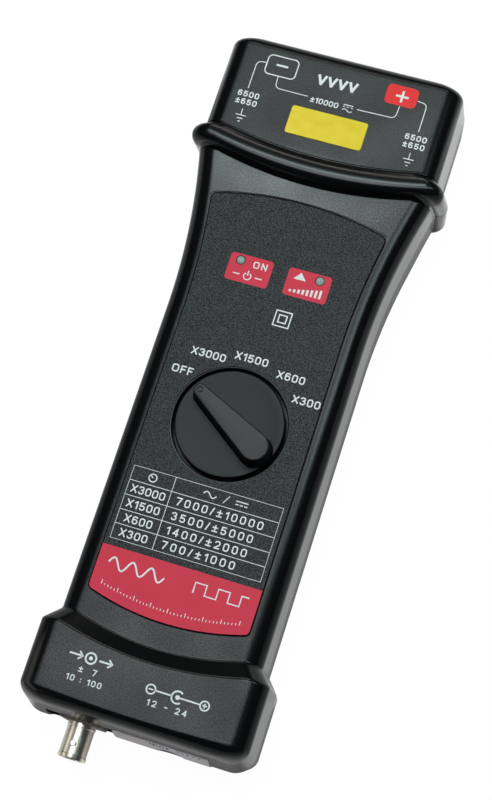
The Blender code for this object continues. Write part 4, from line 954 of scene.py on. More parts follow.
def rear_shell():
    outer = body_form("rear_form", -1, 0.0, True, True)
    cavity = body_form("rear_cavity", -1, WALL, False, False)
    cavity.data.transform(Matrix.Translation((0, 0, SPLIT)))
    base_z = WALL - OVERLAP
    box_low = (BATTERY_LEFT - BOX_WALL, BATTERY_Y0 - BOX_WALL, base_z)
    box_high = (BATTERY_RIGHT + BOX_WALL, BATTERY_Y1 + BOX_WALL, BOX_ROOF)
    groove = DOOR_WIDTH / 2 + DOOR_TONGUE
    floor_low = (-groove - 2 * MM, OUT_Y + END_DRAFT * PARTING_Z + OVERLAP, base_z)
    steps = cut(cavity)
    steps += join(block("battery_box", box_low, box_high))
    steps += join(block("door_floor", floor_low, (groove + 2 * MM, DOOR_Y1 + 2 * MM, FLOOR_TOP)))
    for index, (x, y) in enumerate(CASE_SCREWS):
        steps += join(round_cutter(f"post_{index}", SCREW_BOSS, base_z, PARTING_Z - SPLIT / 2, x, y, 24))
    pocket_low = (BATTERY_LEFT, BATTERY_Y0, BELOW_ALL)
    steps += cut(block("pocket", pocket_low, (BATTERY_RIGHT, BATTERY_Y1, BATTERY_TOP + GAP)))
    outside = OUT_Y - 5 * MM
    far = DOOR_Y1 + GAP
    channel = DOOR_WIDTH / 2 + GAP
    steps += cut(block("channel", (-channel, outside, BELOW_ALL), (channel, far, FLOOR_Z)))
    groove_low = (-groove - GAP, outside, DOOR_LIP)
    steps += cut(block("groove", groove_low, (groove + GAP, far, FLOOR_Z - 0.01 * MM)))
    slot_low = (BATTERY_LEFT - OVERLAP, BATTERY_Y1 - MM, BATTERY_TOP - 8 * MM)
    slot_high = (BATTERY_LEFT + 8 * MM, BATTERY_Y1 + BOX_WALL + MM, BATTERY_TOP - 2 * MM)
    steps += cut(block("lead_slot", slot_low, slot_high))
    for index, (x, y) in enumerate(CASE_SCREWS):
        steps += cut(sunk_cutter(f"sink_{index}", SCREW_HEAD_RADIUS + GAP, x, y))
        steps += cut(round_cutter(f"through_{index}", SCREW_RADIUS + GAP, BELOW_ALL, PARTING_Z, x, y, 24))
    steps += end_openings("rear")
    return built("rear_shell_moulding", outer, steps, "shell_black", "rear_shell", sharp=30.0)


def sunk_cutter(name, radius, x, y):
    """A screw's deep round hole in the rear face, its mouth softened."""
    profile = [(0, BELOW_ALL), (radius + LIP + MM, BELOW_ALL), (radius + LIP + MM, -MM), (radius + LIP, 0)]
    profile += [(radius + LIP * (1 - math.sin(a)), LIP * (1 - math.cos(a))) for a in (0.5, 1.0, math.pi / 2)]
    profile += [(radius, SCREW_SEAT_Z), (0, SCREW_SEAT_Z)]
    return turned(name, profile, (x, y, 0))


def battery_door():
    """The door slides out over the output end on two tongues, and has ribs for the thumb."""
    half = DOOR_WIDTH / 2
    top = DOOR_SET_IN + DOOR_THICKNESS
    soft = 0.3 * MM
    plate = [
        (DOOR_Y0 + DOOR_THICKNESS, DOOR_SET_IN),
        (DOOR_Y1 - soft, DOOR_SET_IN),
        (DOOR_Y1, DOOR_SET_IN + soft),
        (DOOR_Y1, top),
        (DOOR_Y0, top),
    ]
    bm = bmesh.new()
    widths = [(-half, soft), (-half + soft, 0.0), (half - soft, 0.0), (half, soft)]
    rings = [[bm.verts.new((x, y, max(z, DOOR_SET_IN + drop))) for y, z in plate] for x, drop in widths]
    door = mesh_object("door_plate", skinned(bm, rings))
    tongue_low = (-half - DOOR_TONGUE, OUT_Y + CORNER, DOOR_LIP + GAP)
    tongue_high = (half + DOOR_TONGUE, DOOR_Y1 - MM, top - 0.05 * MM)
    steps = join(block("tongues", tongue_low, tongue_high))
    for index in range(DOOR_RIBS):
        y = OUT_Y + CORNER + DOOR_RIB_STEP * index
        high = (DOOR_RIB_HALF, y + DOOR_RIB_STEP / 2, DOOR_SET_IN + 0.6 * MM)
        steps += cut(block(f"grip_{index}", (-DOOR_RIB_HALF, y, -MM), high))
    return built("battery_door_panel", door, steps, "shell_black", "battery_door", rides=DOOR)


def placing_tree():
    """Puts one copy of a piece at each point it's given."""
    sizes = {"Piece": "NodeSocketObject", "Finish": "NodeSocketMaterial"}
    tree, nodes, given = geometry_tree("piece_at_each_place", sizes)
    piece = nodes.add("GeometryNodeObjectInfo", {"Object": given["Piece"]})
    points = nodes.add("GeometryNodeMeshToPoints", {"Mesh": given["Geometry"]})
    set_down = {"Points": points.outputs["Points"], "Instance": piece.outputs["Geometry"]}
    copies = nodes.add("GeometryNodeInstanceOnPoints", set_down)
    end_tree(nodes, copies.outputs["Instances"], given["Finish"])
    return tree


def copies_at(name, piece, places, look, tree):
    result = grown(wire(name + "_places", places, []), tree, {"Piece": piece, "Finish": look})
    bpy.data.objects.remove(piece, do_unlink=True)
    return mesh_object(name, result, look)


THREAD_TURNS = 10
THREAD_PITCH = 1.35  # in millimetres, as the screw's profile is
CROSS_LONG = 1.5 * MM
CROSS_WIDE = 0.36 * MM
CROSS_DEPTH = 1.1 * MM


def case_screws():
    """Four cross-head screws, deep in the rear shell."""
    profile = [(0, 0), (1.5, 0.04), (2.3, 0.3), (2.7, 0.8), (2.8, 1.3), (2.8, 2.0), (1.5, 2.0)]
    for turn in range(THREAD_TURNS):
        low = 4.0 + turn * THREAD_PITCH
        profile += [(1.5, low), (1.22, low + 0.5), (1.5, low + 1.0)]
    profile += [(1.3, 18.6), (0.3, 20.0), (0, 20.0)]
    blank = turned("screw_blank", scaled(profile), sides=32)
    sizes = ((CROSS_LONG, CROSS_WIDE), (CROSS_WIDE, CROSS_LONG))
    arms = [
        block(f"cross_{index}", (-x, -y, -MM), (x, y, CROSS_DEPTH))
        for index, (x, y) in enumerate(sizes, 1)
    ]
    one = combined("screw", blank, cut(*arms), FINISHES["steel"])
    places = [(x, y, SCREW_SEAT_Z - GAP - SCREW_HEAD_HEIGHT) for x, y in CASE_SCREWS]
    made = copies_at("case_screws", one, places, FINISHES["steel"], placing_tree())
    names = [f"case_screw_{end}_{side}" for end in ("head", "base") for side in ("left", "right")]
    return settle(made, BODY, "steel", *names)


def face_overlay():
    film = mesh_object("film", prism(overlay_outline(0.0), OVERLAY_TOP - FILM_DEPTH, OVERLAY_TOP, FILM_EDGE))
    hole = CUP_RADIUS + LIP + GAP
    cutters = [round_cutter("dial_hole", hole, PARTING_Z, ABOVE_ALL, 0, DIAL_Y, 128)]
    cutters += lamp_holes("film_hole", 0.2 * MM)
    return built("face_overlay_film", film, cut(*cutters), "overlay_charcoal", "face_overlay")


def yellow_sticker():
    low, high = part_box("yellow_sticker")
    outline = rectangle(low.x, low.y, high.x, high.y, 1.0 * MM)
    film = prism(outline, HEAD_DEPTH, HEAD_DEPTH + 0.3 * MM, FILM_EDGE)
    made = mesh_object("warning_sticker_plain", film, FINISHES["sticker_yellow"])
    return settle(made, BODY, "sticker_yellow", "yellow_sticker")


def pointer_outline(grow):
    """The pointer's outline along -X from the dial's centre: a small round tip, a larger round tail."""
    tip = POINTER_TIP_RADIUS + grow
    tail = POINTER_TAIL_RADIUS + grow
    lean = math.asin((tail - tip) / (POINTER_TIP_AT + POINTER_TAIL_AT))
    points = []
    for radius, at, start, end in (
        (tip, POINTER_TIP_AT, lean, math.pi - lean),
        (tail, -POINTER_TAIL_AT, math.pi - lean, 2 * math.pi + lean),
    ):
        for step in range(25):
            angle = start + (end - start) * step / 24
            points.append((radius * math.cos(angle), at + radius * math.sin(angle)))
    return points


def range_knob():
    """The dial's disc, flush with the face, and the pointer across it, set to off."""
    soft = 0.55 * MM
    rim = [
        (KNOB_RADIUS - soft + soft * math.sin(a), KNOB_TOP - soft + soft * math.cos(a))
        for a in quarter(6)
    ]
    underside = KNOB_TOP - 2.2 * MM
    profile = [(0, KNOB_TOP - 0.6 * MM), (KNOB_RADIUS * 0.4, KNOB_TOP - 0.55 * MM)]
    profile += [(KNOB_RADIUS * 0.7, KNOB_TOP - 0.4 * MM), (KNOB_RADIUS * 0.88, KNOB_TOP - 0.2 * MM)]
    profile += rim + [
        (KNOB_RADIUS, CUP_FLOOR_Z + MM),
        (KNOB_RADIUS - 1.8 * MM, CUP_FLOOR_Z + MM),
        (KNOB_RADIUS - 1.8 * MM, underside),
        (5.0 * MM, underside),
        (5.0 * MM, BUSH_TOP + GAP),
        (0, BUSH_TOP + GAP),
    ]
    disc = turned("disc", profile, sides=160)
    top = GRIP_DEPTH + POINTER_HEIGHT
    edge = 0.5 * MM
    levels = [(underside + MM, 1.1 * MM), (KNOB_TOP - 0.15 * MM, 0.95 * MM), (KNOB_TOP + 0.3 * MM, 0.68 * MM)]
    levels += [(top - edge + edge * math.sin(a), -edge * (1 - math.cos(a))) for a in quarter(5)]
    bm = bmesh.new()
    rings = [[bm.verts.new((x, y, z)) for x, y in pointer_outline(grow)] for z, grow in levels]
    pointer = mesh_object("pointer", skinned(bm, rings))
    sunk = top - 0.6 * MM
    dimple = [(0.65 * MM, sunk), (1.2 * MM, sunk), (1.35 * MM, top + MM), (0.6 * MM, top + MM)]
    ring = turned("dimple", dimple, (0, POINTER_TIP_AT, 0), closed=True)
    bore = round_cutter("shaft_bore", 3.3 * MM, PARTING_Z, GRIP_DEPTH + 2.5 * MM)
    made = combined("dial_knob", disc, join(pointer) + cut(ring, bore), FINISHES["dial_black"], 32.0)
    made.data.transform(Matrix.Translation((0, DIAL_Y, 0)) @ Matrix.Rotation(OFF_TURN, 4, "Z"))
    return settle(made, DIAL, "moulded_black", "range_knob")


def output_jack():
    """The bayonet jack's barrel with its two lugs, the block it's set in, its insulator and its pin."""
    stub = OUT_Y + GAP + 8.0 * MM
    length = stub - OUT_Y + BNC_REACH
    soft = 0.35 * MM
    outer = [(BNC_RADIUS, 0), (BNC_RADIUS, length - 10.9 * MM)]
    outer += [(BNC_RADIUS - 0.18 * MM, length - 10.7 * MM), (BNC_RADIUS - 0.18 * MM, length - 1.6 * MM)]
    outer += [(BNC_RADIUS, length - 1.4 * MM)]
    lip = [
        (BNC_RADIUS - soft + soft * math.cos(a), length - soft + soft * math.sin(a))
        for a in (0, 0.5, 1.0, 1.57)
    ]
    bore = [(BNC_BORE + 0.1 * MM, length), (BNC_BORE, length - 0.2 * MM), (BNC_BORE, length - 9.0 * MM)]
    core = 2.7 * MM
    profile = [(core, 0)] + outer + lip + bore + [(core, length - 9.0 * MM)]
    barrel = turned("barrel", profile, (BNC_X, stub, PARTING_Z), AGAINST_Y, 96, closed=True)
    lug_y = OUT_Y - BNC_REACH + 5.2 * MM
    reach = BNC_RADIUS + 0.65 * MM
    dome = [(0, BNC_BORE + 0.3 * MM), (MM, BNC_BORE + 0.3 * MM), (MM, reach - 0.25 * MM), (0.75 * MM, reach)]
    dome += [(0.35 * MM, reach), (0.3 * MM, reach - 0.12 * MM), (0, reach - 0.12 * MM)]
    lugs = [
        turned(f"lug_{index}", dome, (BNC_X, lug_y, PARTING_Z), turn, 32)
        for index, turn in enumerate((UPRIGHT, FACING_DOWN))
    ]
    built("output_barrel", barrel, join(*lugs), "nickel", "bnc_barrel")

    low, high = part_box("bnc_housing")
    body = block("housing", low, high, edge=0.8 * MM)
    holes = [
        cross_cutter("barrel_hole", BNC_RADIUS + 0.1 * MM, OUT_Y - 5 * MM, stub + GAP, BNC_X),
        cross_cutter("core_hole", core, OUT_Y, OUT_Y + 40 * MM, BNC_X),
    ]
    beige = FINISHES["housing_beige"]
    built("output_housing", body, cut(*holes), "pale_plastic", "bnc_housing", look=beige)

    depth = (length - 2.0 * MM) / MM
    sleeve = [(1.1, -4.0), (2.4, -4.0), (2.4, depth - 0.3), (2.1, depth), (1.3, depth), (1.1, depth - 0.2)]
    place = (BNC_X, stub, PARTING_Z)
    slot = "white_insulator"
    turned_piece("output_insulator", sleeve, place, AGAINST_Y, 48, slot, "bnc_insulator", True)
    end = depth - 1.0
    pin = [(0, -7.0), (0.68, -7.0), (0.68, end - 0.2), (0.55, end), (0.36, end)]
    pin += [(0.3, end - 0.8), (0, end - 1.0)]
    turned_piece("output_pin", pin, place, AGAINST_Y, 32, "brass", "bnc_contact")


def input_jacks():
    """The two deep shrouds in the input end and the contact tubes far back in them."""
    shroud = [(4.3, -0.5), (4.8, 0.0), (6.1, 0.0), (6.4, -0.12), (6.5, -0.45), (6.5, -4.5), (8.5, -4.5)]
    shroud += [(8.5, -6.5), (6.5, -6.5), (6.5, -34.0), (1.3, -34.0), (1.3, -30.0), (4.3, -30.0)]
    tube = [(0, -26.0), (2.0, -26.0), (2.0, -12.6), (2.3, -12.0), (2.45, -12.05), (2.5, -12.3), (2.5, -29.7)]
    tube += [(1.0, -29.7), (1.0, -37.0), (0, -37.0)]
    for side, sign, slot in (("minus", -1, "moulded_black"), ("plus", 1, "red_insulator")):
        place = (sign * JACK_X, IN_Y, PARTING_Z)
        turned_piece(f"{side}_shroud", shroud, place, ALONG_Y, 96, slot, f"input_jack_{side}", True)
        turned_piece(f"{side}_contact_tube", tube, place, ALONG_Y, 48, "brass", f"input_contact_{side}")


def supply_jack():
    low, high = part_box("supply_jack")
    base = (low.x, OUT_Y + 5.5 * MM, low.z)
    body = block("supply_block", base, high, edge=0.6 * MM)
    nose = [(0, 0.2), (3.6, 0.2), (3.9, 0.3), (4.0, 0.6), (4.0, 8.0), (0, 8.0)]
    place = (SUPPLY_X, OUT_Y + 0.8 * MM, PARTING_Z)
    steps = join(turned("supply_nose", scaled(nose), place, ALONG_Y, 64))
    steps += cut(cross_cutter("supply_bore", 3.1 * MM, OUT_Y - MM, OUT_Y + 10.5 * MM, SUPPLY_X))
    built("supply_socket", body, steps, "moulded_black", "supply_jack")
    pin = [(0, 2.0), (0.6, 2.05), (0.9, 2.3), (1.0, 2.8), (1.0, 10.2), (0, 10.2)]
    turned_piece("supply_centre_pin", pin, (SUPPLY_X, OUT_Y, PARTING_Z), ALONG_Y, 32, "nickel", "supply_pin")


def lamps():
    base = GRIP_DEPTH + 0.9 * MM - 5.0 * MM
    dome = 0.7 * MM
    shoulder = GRIP_DEPTH + 0.65 * MM - dome
    profile = [(0, base), (1.7 * MM, base), (1.7 * MM, base + MM), (LAMP_RADIUS, base + MM)]
    profile += [(LAMP_RADIUS * math.cos(a), shoulder + dome * math.sin(a)) for a in quarter(12)]
    for name, sign in (("power", -1), ("over_range", 1)):
        place = (sign * LAMP_X, LAMP_Y, 0)
        made = turned(f"{name}_lens", profile, place, UPRIGHT, 48, FINISHES["lamp_lens"])
        settle(made, BODY, "lamp_lens", f"{name}_lamp")


def battery():
    """A plain block battery: a wrapped case, a pale band round one end and two studs."""
    low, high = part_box("battery")
    soft = 1.2 * MM
    outline = rectangle(low.y, low.z, high.y, high.z, soft)
    stand = Matrix(((0, 0, 1, 0), (1, 0, 0, 0), (0, 1, 0, 0), (0, 0, 0, 1)))
    case_x = low.x + 3.0 * MM
    case = mesh_object("case", prism(outline, case_x, high.x, 0.5 * MM))
    case.data.transform(stand)
    middle = (low.y + high.y) / 2
    z = (low.z + high.z) / 2
    to_left = Matrix.Rotation(-math.pi / 2, 4, "Y")
    male = scaled([(0, -1), (2.9, -1), (2.9, 2.4), (2.6, 3.0), (0, 3.0)])
    female = scaled([(0, -1), (3.4, -1), (3.4, 2.7), (3.1, 3.0), (2.3, 3.0), (2.1, 1.2), (0, 1.2)])
    studs = [
        turned("stud_plus", male, (case_x, middle - 6.35 * MM, z), to_left, 48),
        turned("stud_minus", female, (case_x, middle + 6.35 * MM, z), to_left, 12),
    ]
    built("block_battery", case, join(*studs), "moulded_black", "battery")
    wrap = prism(inset(outline, -0.05 * MM), case_x + 4 * MM, case_x + 15 * MM)
    band = mesh_object("battery_band", wrap, FINISHES["brass"])
    band.data.transform(stand)
    settle(band, BODY, "brass")


# ---------------------------------------------------------------- print

def line_tree():
    """Turns edges into flat printed lines of one width, their corners rounded."""
    sizes = {label: "NodeSocketFloat" for label in ("Width", "Thickness", "Corner")}
    sizes["Finish"] = "NodeSocketMaterial"
    tree, nodes, given = geometry_tree("printed_line", sizes)
    path = nodes.add("GeometryNodeMeshToCurve", {"Mesh": given["Geometry"]}).outputs["Curve"]
    bend = {"Curve": path, "Count": BEND_POINTS, "Radius": given["Corner"], "Limit Radius": True}
    bent = nodes.add("GeometryNodeFilletCurve", bend, mode="POLY").outputs["Curve"]
    level = nodes.add("GeometryNodeSetCurveNormal", {"Curve": bent}, mode="Z_UP").outputs["Curve"]
    oblong = {"Width": given["Width"], "Height": given["Thickness"]}
    across = nodes.add("GeometryNodeCurvePrimitiveQuadrilateral", oblong).outputs["Curve"]
    curves = {"Curve": level, "Profile Curve": across, "Fill Caps": True}
    swept = nodes.add("GeometryNodeCurveToMesh", curves)
    end_tree(nodes, swept.outputs["Mesh"], given["Finish"])
    return tree


LINES = line_tree()


def lines(paths, width, corner=0.0, closed=False, lift=0.0):
    """Printed lines through (x, y) points, as a mesh on the plane z = 0. Sizes in millimetres."""
    points, edges = [], []
    for order, path in enumerate(paths):
        first = len(points)
        level = lift + INK_STEP * (order % 4)
        points += [(x * MM, y * MM, level) for x, y in path]
        edges += [(first + index, first + index + 1) for index in range(len(path) - 1)]
        if closed:
            edges.append((len(points) - 1, first))
    values = {"Width": width * MM, "Thickness": INK, "Corner": corner * MM, "Finish": WHITE_INK}
    return grown(wire("lines", points, edges), LINES, values)


# Plain numerals and the few other signs printed: the width of each as a share of its height, and its
# strokes through points given as shares of both. A loop and a bend have round corners, a line has none.
SIGNS = {
    "0": (0.66, [("loop", [(0, 0), (1, 0), (1, 1), (0, 1)])]),
    "1": (0.3, [("line", [(0, 0.8), (1, 1), (1, 0)])]),
    "2": (0.64, [("bend", [(0, 0.72), (0, 1), (1, 1), (1, 0.56), (0, 0)]), ("line", [(0, 0), (1, 0)])]),
    "3": (
        0.64,
        [
            ("bend", [(0, 0.76), (0, 1), (0.95, 1), (0.95, 0.54), (0.4, 0.54)]),
            ("bend", [(0.4, 0.54), (1, 0.54), (1, 0), (0, 0), (0, 0.25)]),
        ],
    ),
    "4": (0.68, [("line", [(0.76, 0), (0.76, 1), (0, 0.28), (1, 0.28)])]),
    "5": (
        0.64,
        [
            ("line", [(0.9, 1), (0.1, 1), (0.04, 0.5)]),
            ("bend", [(0.04, 0.6), (1, 0.6), (1, 0), (0, 0), (0, 0.24)]),
        ],
    ),
    "6": (
        0.64,
        [
            ("loop", [(0, 0), (1, 0), (1, 0.6), (0, 0.6)]),
            ("bend", [(0, 0.3), (0, 1), (0.95, 1), (0.95, 0.8)]),
        ],
    ),
    "7": (0.64, [("line", [(0, 1), (1, 1), (0.35, 0)])]),
    "9": (
        0.64,
        [
            ("loop", [(0, 0.4), (1, 0.4), (1, 1), (0, 1)]),
            ("bend", [(1, 0.7), (1, 0), (0.05, 0), (0.05, 0.2)]),
        ],
    ),
    "X": (0.74, [("line", [(0, 0), (1, 1)]), ("line", [(0, 1), (1, 0)])]),
    "O": (0.82, [("loop", [(0, 0), (1, 0), (1, 1), (0, 1)])]),
    "F": (0.6, [("line", [(1, 1), (0, 1), (0, 0)]), ("line", [(0, 0.5), (0.85, 0.5)])]),
    "N": (0.74, [("line", [(0, 0), (0, 1), (1, 0), (1, 1)])]),
    "±": (
        0.64,
        [
            ("line", [(0, 0.6), (1, 0.6)]),
            ("line", [(0.5, 0.3), (0.5, 0.9)]),
            ("line", [(0, 0.05), (1, 0.05)]),
        ],
    ),
    "/": (0.34, [("line", [(0, 0), (1, 1)])]),
    "-": (0.4, [("line", [(0, 0.48), (1, 0.48)])]),
    ":": (0.04, [("line", [(0, 0.14), (0, 0.16)]), ("line", [(0, 0.64), (0, 0.66)])]),
    " ": (0.3, []),
}


def figures(text, x, y, height, width, weight=0.17):
    """Numerals drawn as strokes, as meshes, centred on a place and spaced out to a width."""
    stroke = weight * height
    tall = height - stroke
    gap = (width - stroke - sum(SIGNS[sign][0] for sign in text) * tall) / (len(text) - 1)
    left = x - (width - stroke) / 2
    low = y - tall / 2
    strokes = {"loop": [], "bend": [], "line": []}
    for sign in text:
        share, parts = SIGNS[sign]
        for kind, path in parts:
            placed = [(left + across * share * tall, low + up * tall) for across, up in path]
            strokes[kind] += squared(placed, stroke) if kind == "line" else [placed]
        left += share * tall + gap
    made = []
    for order, (kind, paths) in enumerate(strokes.items()):
        if paths:
            corner = 0.0 if kind == "line" else 0.26 * tall
            made.append(lines(paths, stroke, corner, kind == "loop", order * INK_STEP / 3))
    return made


def squared(path, stroke):
    """Splits a path into straight strokes, each made longer by half its width at both ends."""
    pieces = []
    for one, two in zip(path, path[1:]):
        along = (Vector(two) - Vector(one)).normalized() * stroke / 2
        pieces.append([tuple(Vector(one) - along), tuple(Vector(two) + along)])
    return pieces


def patch(outline):
    """A filled printed shape of an outline in millimetres."""
    mesh = bpy.data.meshes.new("patch")
    bm = prism([Vector(point) * MM for point in outline], -INK / 2, INK / 2)
    bm.to_mesh(mesh)
    bm.free()
    return mesh


def disc(radius, x, y):
    return patch(circle(radius, x, y, 40))


def ring(radius, x, y, width, start=0.0, end=360.0, closed=True):
    """A printed ring, or an arc of one."""
    steps = 48 if closed else 36
    angles = [math.radians(start + (end - start) * index / steps) for index in range(steps + (not closed))]
    return lines([[(x + radius * math.cos(a), y + radius * math.sin(a)) for a in angles]], width, 0.0, closed)


def merged(name, parts, look=None, sharp=35.0):
    """Puts plain meshes together as one object."""
    bm = bmesh.new()
    for mesh in parts:
        bm.from_mesh(mesh)
        bpy.data.meshes.remove(mesh)
    return mesh_object(name, bm, look, sharp)


# The slot whose finish is nearest to each ink's
PRINT_SLOT = {
    "white_ink": "white_insulator",
    "crimson_ink": "red_insulator",
    "red_ink": "red_insulator",
    "dark_ink": "moulded_black",
    "groove_shade_ink": "moulded_black",
}


def printed(name, parts, look, place, turn=UPRIGHT):
    """Joins printed shapes into one piece and lays it on its surface."""
    made = merged(name, parts, look, 20.0)
    lift = Matrix.Translation((0, 0, INK / 2 - INK_SUNK))
    made.data.transform(Matrix.Translation(place) @ turn @ lift)
    return settle(made, BODY, PRINT_SLOT[look.name])


def sine(x0, x1, y, height, periods):
    """Points along a sine wave, twelve to a period."""
    count = 12 * periods
    shares = [index / count for index in range(count + 1)]
    turn = 2 * math.pi * periods
    return [(x0 + (x1 - x0) * share, y + height * math.sin(turn * share)) for share in shares]


def direct_and_alternating(x, y, width):
    """The usual sign for direct and alternating supply: a line, a row of dashes and a wave."""
    half = width / 2
    dash = width / 5
    parts = [lines([[(x - half, y + 1.15), (x + half, y + 1.15)]], 0.32)]
    starts = [x - half + 2 * dash * k for k in range(3)]
    parts.append(lines([[(start, y + 0.35), (start + dash, y + 0.35)] for start in starts], 0.32))
    parts.append(lines([sine(x - half, x + half, y - 0.9, 0.45, 1)], 0.32))
    return parts


def head_print():
    """The lines and marks round the two inputs."""
    parts = [lines([[(-27.7, 125.9), (-16.5, 125.9), (-16.5, 133.4), (-27.7, 133.4)]], 0.42, 1.6, True)]
    parts.append(lines([[(-24.2, 130.0), (-19.9, 130.0)]], 0.75))
    leads = [
        [(-27.9, 129.9), (-31.2, 129.6), (-31.2, 118.6)],
        [(27.8, 129.6), (31.4, 129.2), (31.4, 118.4)],
        [(-22.3, 125.9), (-22.0, 121.3), (-9.9, 121.2)],
        [(22.3, 126.0), (22.0, 121.2), (8.3, 120.9)],
    ]
    parts.append(lines(leads, 0.3, 1.7))
    for x in (-6.9, -3.1, 0.7, 4.5):
        parts.append(lines(squared([(x - 1.3, 130.2), (x, 126.9), (x + 1.3, 130.2)], 0.5), 0.95))
    parts += figures("±10000", -3.6, 120.5, 2.1, 10.2, 0.19)
    parts += direct_and_alternating(5.0, 120.5, 3.6)
    for x, y in ((-30.3, 114.9), (31.2, 114.4)):
        parts += figures("6500", x, y + 1.5, 2.2, 7.8, 0.19)
        parts += figures("±650", x, y - 1.5, 2.2, 7.8, 0.19)
        foot = y - 4.3
        parts.append(lines([[(x - 0.3, foot), (x - 0.3, foot - 2.5)]], 0.3))
        bars = [(1.9, foot - 2.5), (1.05, foot - 3.75), (0.4, foot - 4.9)]
        parts.append(lines([[(x - 0.3 - half, y), (x - 0.3 + half, y)] for half, y in bars], 0.34))
    surface = (0, DIAL_Y, HEAD_DEPTH)
    printed("head_print", parts, WHITE_INK, surface)
    printed("plus_patch", [patch(rectangle(16.3, 126.2, 27.6, 133.8, 1.6))], RED_INK, surface)
    arms = [(22.6, 130.2), (24.5, 130.2), (24.5, 129.4), (22.6, 129.4), (22.6, 127.6), (21.8, 127.6)]
    arms += [(21.8, 129.4), (19.9, 129.4), (19.9, 130.2), (21.8, 130.2), (21.8, 132.0), (22.6, 132.0)]
    printed("plus_sign", [patch(arms)], WHITE_INK, (0, DIAL_Y, HEAD_DEPTH + INK / 2))


def overlay_edge():
    """Painted shade in the groove round the overlay: a dark line all round its cut edge, where the recess
    lies in shadow.
    """
    outline = [(point.x / MM, point.y / MM) for point in overlay_outline(-0.2 * MM)]
    printed("overlay_edge", [lines([outline], 0.42, 0.0, True)], GROOVE_SHADE_INK, (0, 0, OVERLAY_TOP))


def dial_print():
    """The settings round the dial, the table under it and the marks above it."""
    parts = []
    for text, x, y, width in (
        ("OFF", -21.3, 13.8, 7.4),
        ("X3000", -14.4, 21.5, 12.2),
        ("X1500", 0.3, 23.9, 11.6),
        ("X600", 15.1, 21.3, 9.8),
        ("X300", 22.6, 14.5, 9.8),
    ):
        parts += figures(text, x, y, 2.8, width, 0.175)
    rows = (-22.6, -27.7, -32.9, -38.1, -43.1, -48.3)
    parts.append(lines([[(-26.3, y), (26.3, y)] for y in rows[1:-1]], 0.22))
    parts.append(lines([[(-11.4, rows[0]), (-11.4, rows[-1])]], 0.22))
    parts.append(lines([rectangle(-26.3, rows[0], 26.3, rows[-1])], 0.22, 0, True))
    cells = (
        ("X3000", 12.0, "7000/±10000", 30.5),
        ("X1500", 11.6, "3500/±5000", 28.5),
        ("X600", 9.8, "1400/±2000", 28.0),
        ("X300", 9.8, "700/±1000", 25.5),
    )
    for above, below, (left, left_width, right, right_width) in zip(rows[1:], rows[2:], cells):
        y = (above + below) / 2
        parts += figures(left, -18.9, y, 2.8, left_width, 0.165)
        parts += figures(right, -8.9 + right_width / 2, y, 2.8, right_width, 0.165)
    y = (rows[0] + rows[1]) / 2
    parts.append(ring(1.35, -18.9, y, 0.4))
    parts.append(lines([[(-18.9, y), (-19.9, y + 0.9)]], 0.4))
    parts.append(lines([sine(-1.0, 3.6, y, 0.9, 1)], 0.4))
    parts.append(lines([[(6.3, y - 1.4), (7.9, y + 1.4)]], 0.3))
    parts.append(lines([[(10.4, y + 0.55), (14.6, y + 0.55)]], 0.4))
    parts.append(lines([[(10.4 + 1.55 * k, y - 0.6), (11.5 + 1.55 * k, y - 0.6)] for k in range(3)], 0.4))
    squares = [rectangle(6.0 - half, 40.4 - half, 6.0 + half, 40.4 + half) for half in (2.75, 1.35)]
    parts.append(lines(squares, 0.62, 0.0, True))
    printed("dial_print", parts, WHITE_INK, (0, DIAL_Y, OVERLAY_TOP))


def lamp_patches():
    """A crimson patch behind each lamp, with its mark."""
    patches = [patch(rectangle(x0, 49.2, x1, 59.3, 1.1)) for x0, x1 in ((-18.1, -2.7), (2.9, 18.3))]
    whole = merged("patches", patches)
    whole.data.transform(Matrix.Translation((0, DIAL_Y, OVERLAY_TOP + INK / 2 - INK_SUNK)))
    holes = lamp_holes("patch_hole", 0.2 * MM)
    built("lamp_patches", whole, cut(*holes), "red_insulator", look=CRIMSON_INK)
    parts = figures("ON", -7.1, 56.6, 2.5, 4.9)
    parts.append(ring(1.25, -10.4, 51.9, 0.4, 125, 415, False))
    parts.append(lines([[(-10.4, 52.2), (-10.4, 54.0)]], 0.4))
    parts.append(lines([[(-15.6, 52.0), (-13.2, 52.0)], [(-7.6, 52.0), (-5.2, 52.0)]], 0.4))
    parts.append(patch([(5.2, 55.6), (9.6, 55.6), (7.4, 58.3)]))
    bars = [[(5.3 + 1.5 * k, 50.7), (5.3 + 1.5 * k, 51.5 + 0.33 * k)] for k in range(8)]
    parts.append(lines(bars, 0.8))
    printed("lamp_marks", parts, WHITE_INK, (0, DIAL_Y, OVERLAY_TOP + INK / 2))


def bottom_band():
    """The crimson band at the overlay's foot, with plain waves and a scale on it."""
    half = 28.0
    arc = [(-half * (1 - index / 14), 0.0) for index in range(1, 28)]
    low = -66.1
    bottom = [(x, low - 4.5 * (1 - (x / half) ** 2) - 0.1, 0.0) for x, _ in arc]
    corners = [(-half, -50.8, 0.0), (-half, low, 1.6)] + bottom + [(half, low, 1.6), (half, -50.8, 0.0)]
    printed("crimson_band", [patch(rounded(corners))], CRIMSON_INK, (0, DIAL_Y, OVERLAY_TOP))
    parts = [lines([sine(-24.0, -4.5, -56.3, 2.0, 3)], 0.6)]
    low_y, high_y = -58.1, -54.5
    square = []
    for x in (6.0, 14.0, 22.0):
        square += [(x, low_y), (x, high_y), (x + 4.0, high_y), (x + 4.0, low_y)]
    square[-2:] = [(24.5, high_y)]
    parts.append(lines([square], 0.55))
    ticks = []
    for index in range(41):
        x = -24.0 + 1.2 * index
        y = low + 3.9 - 4.2 * (1 - (x / half) ** 2)
        ticks.append([(x, y - 0.6), (x, y + (0.9 if index % 5 == 0 else 0.1))])
    parts.append(lines(ticks, 0.26))
    printed("band_print", parts, WHITE_INK, (0, DIAL_Y, OVERLAY_TOP + INK / 2))


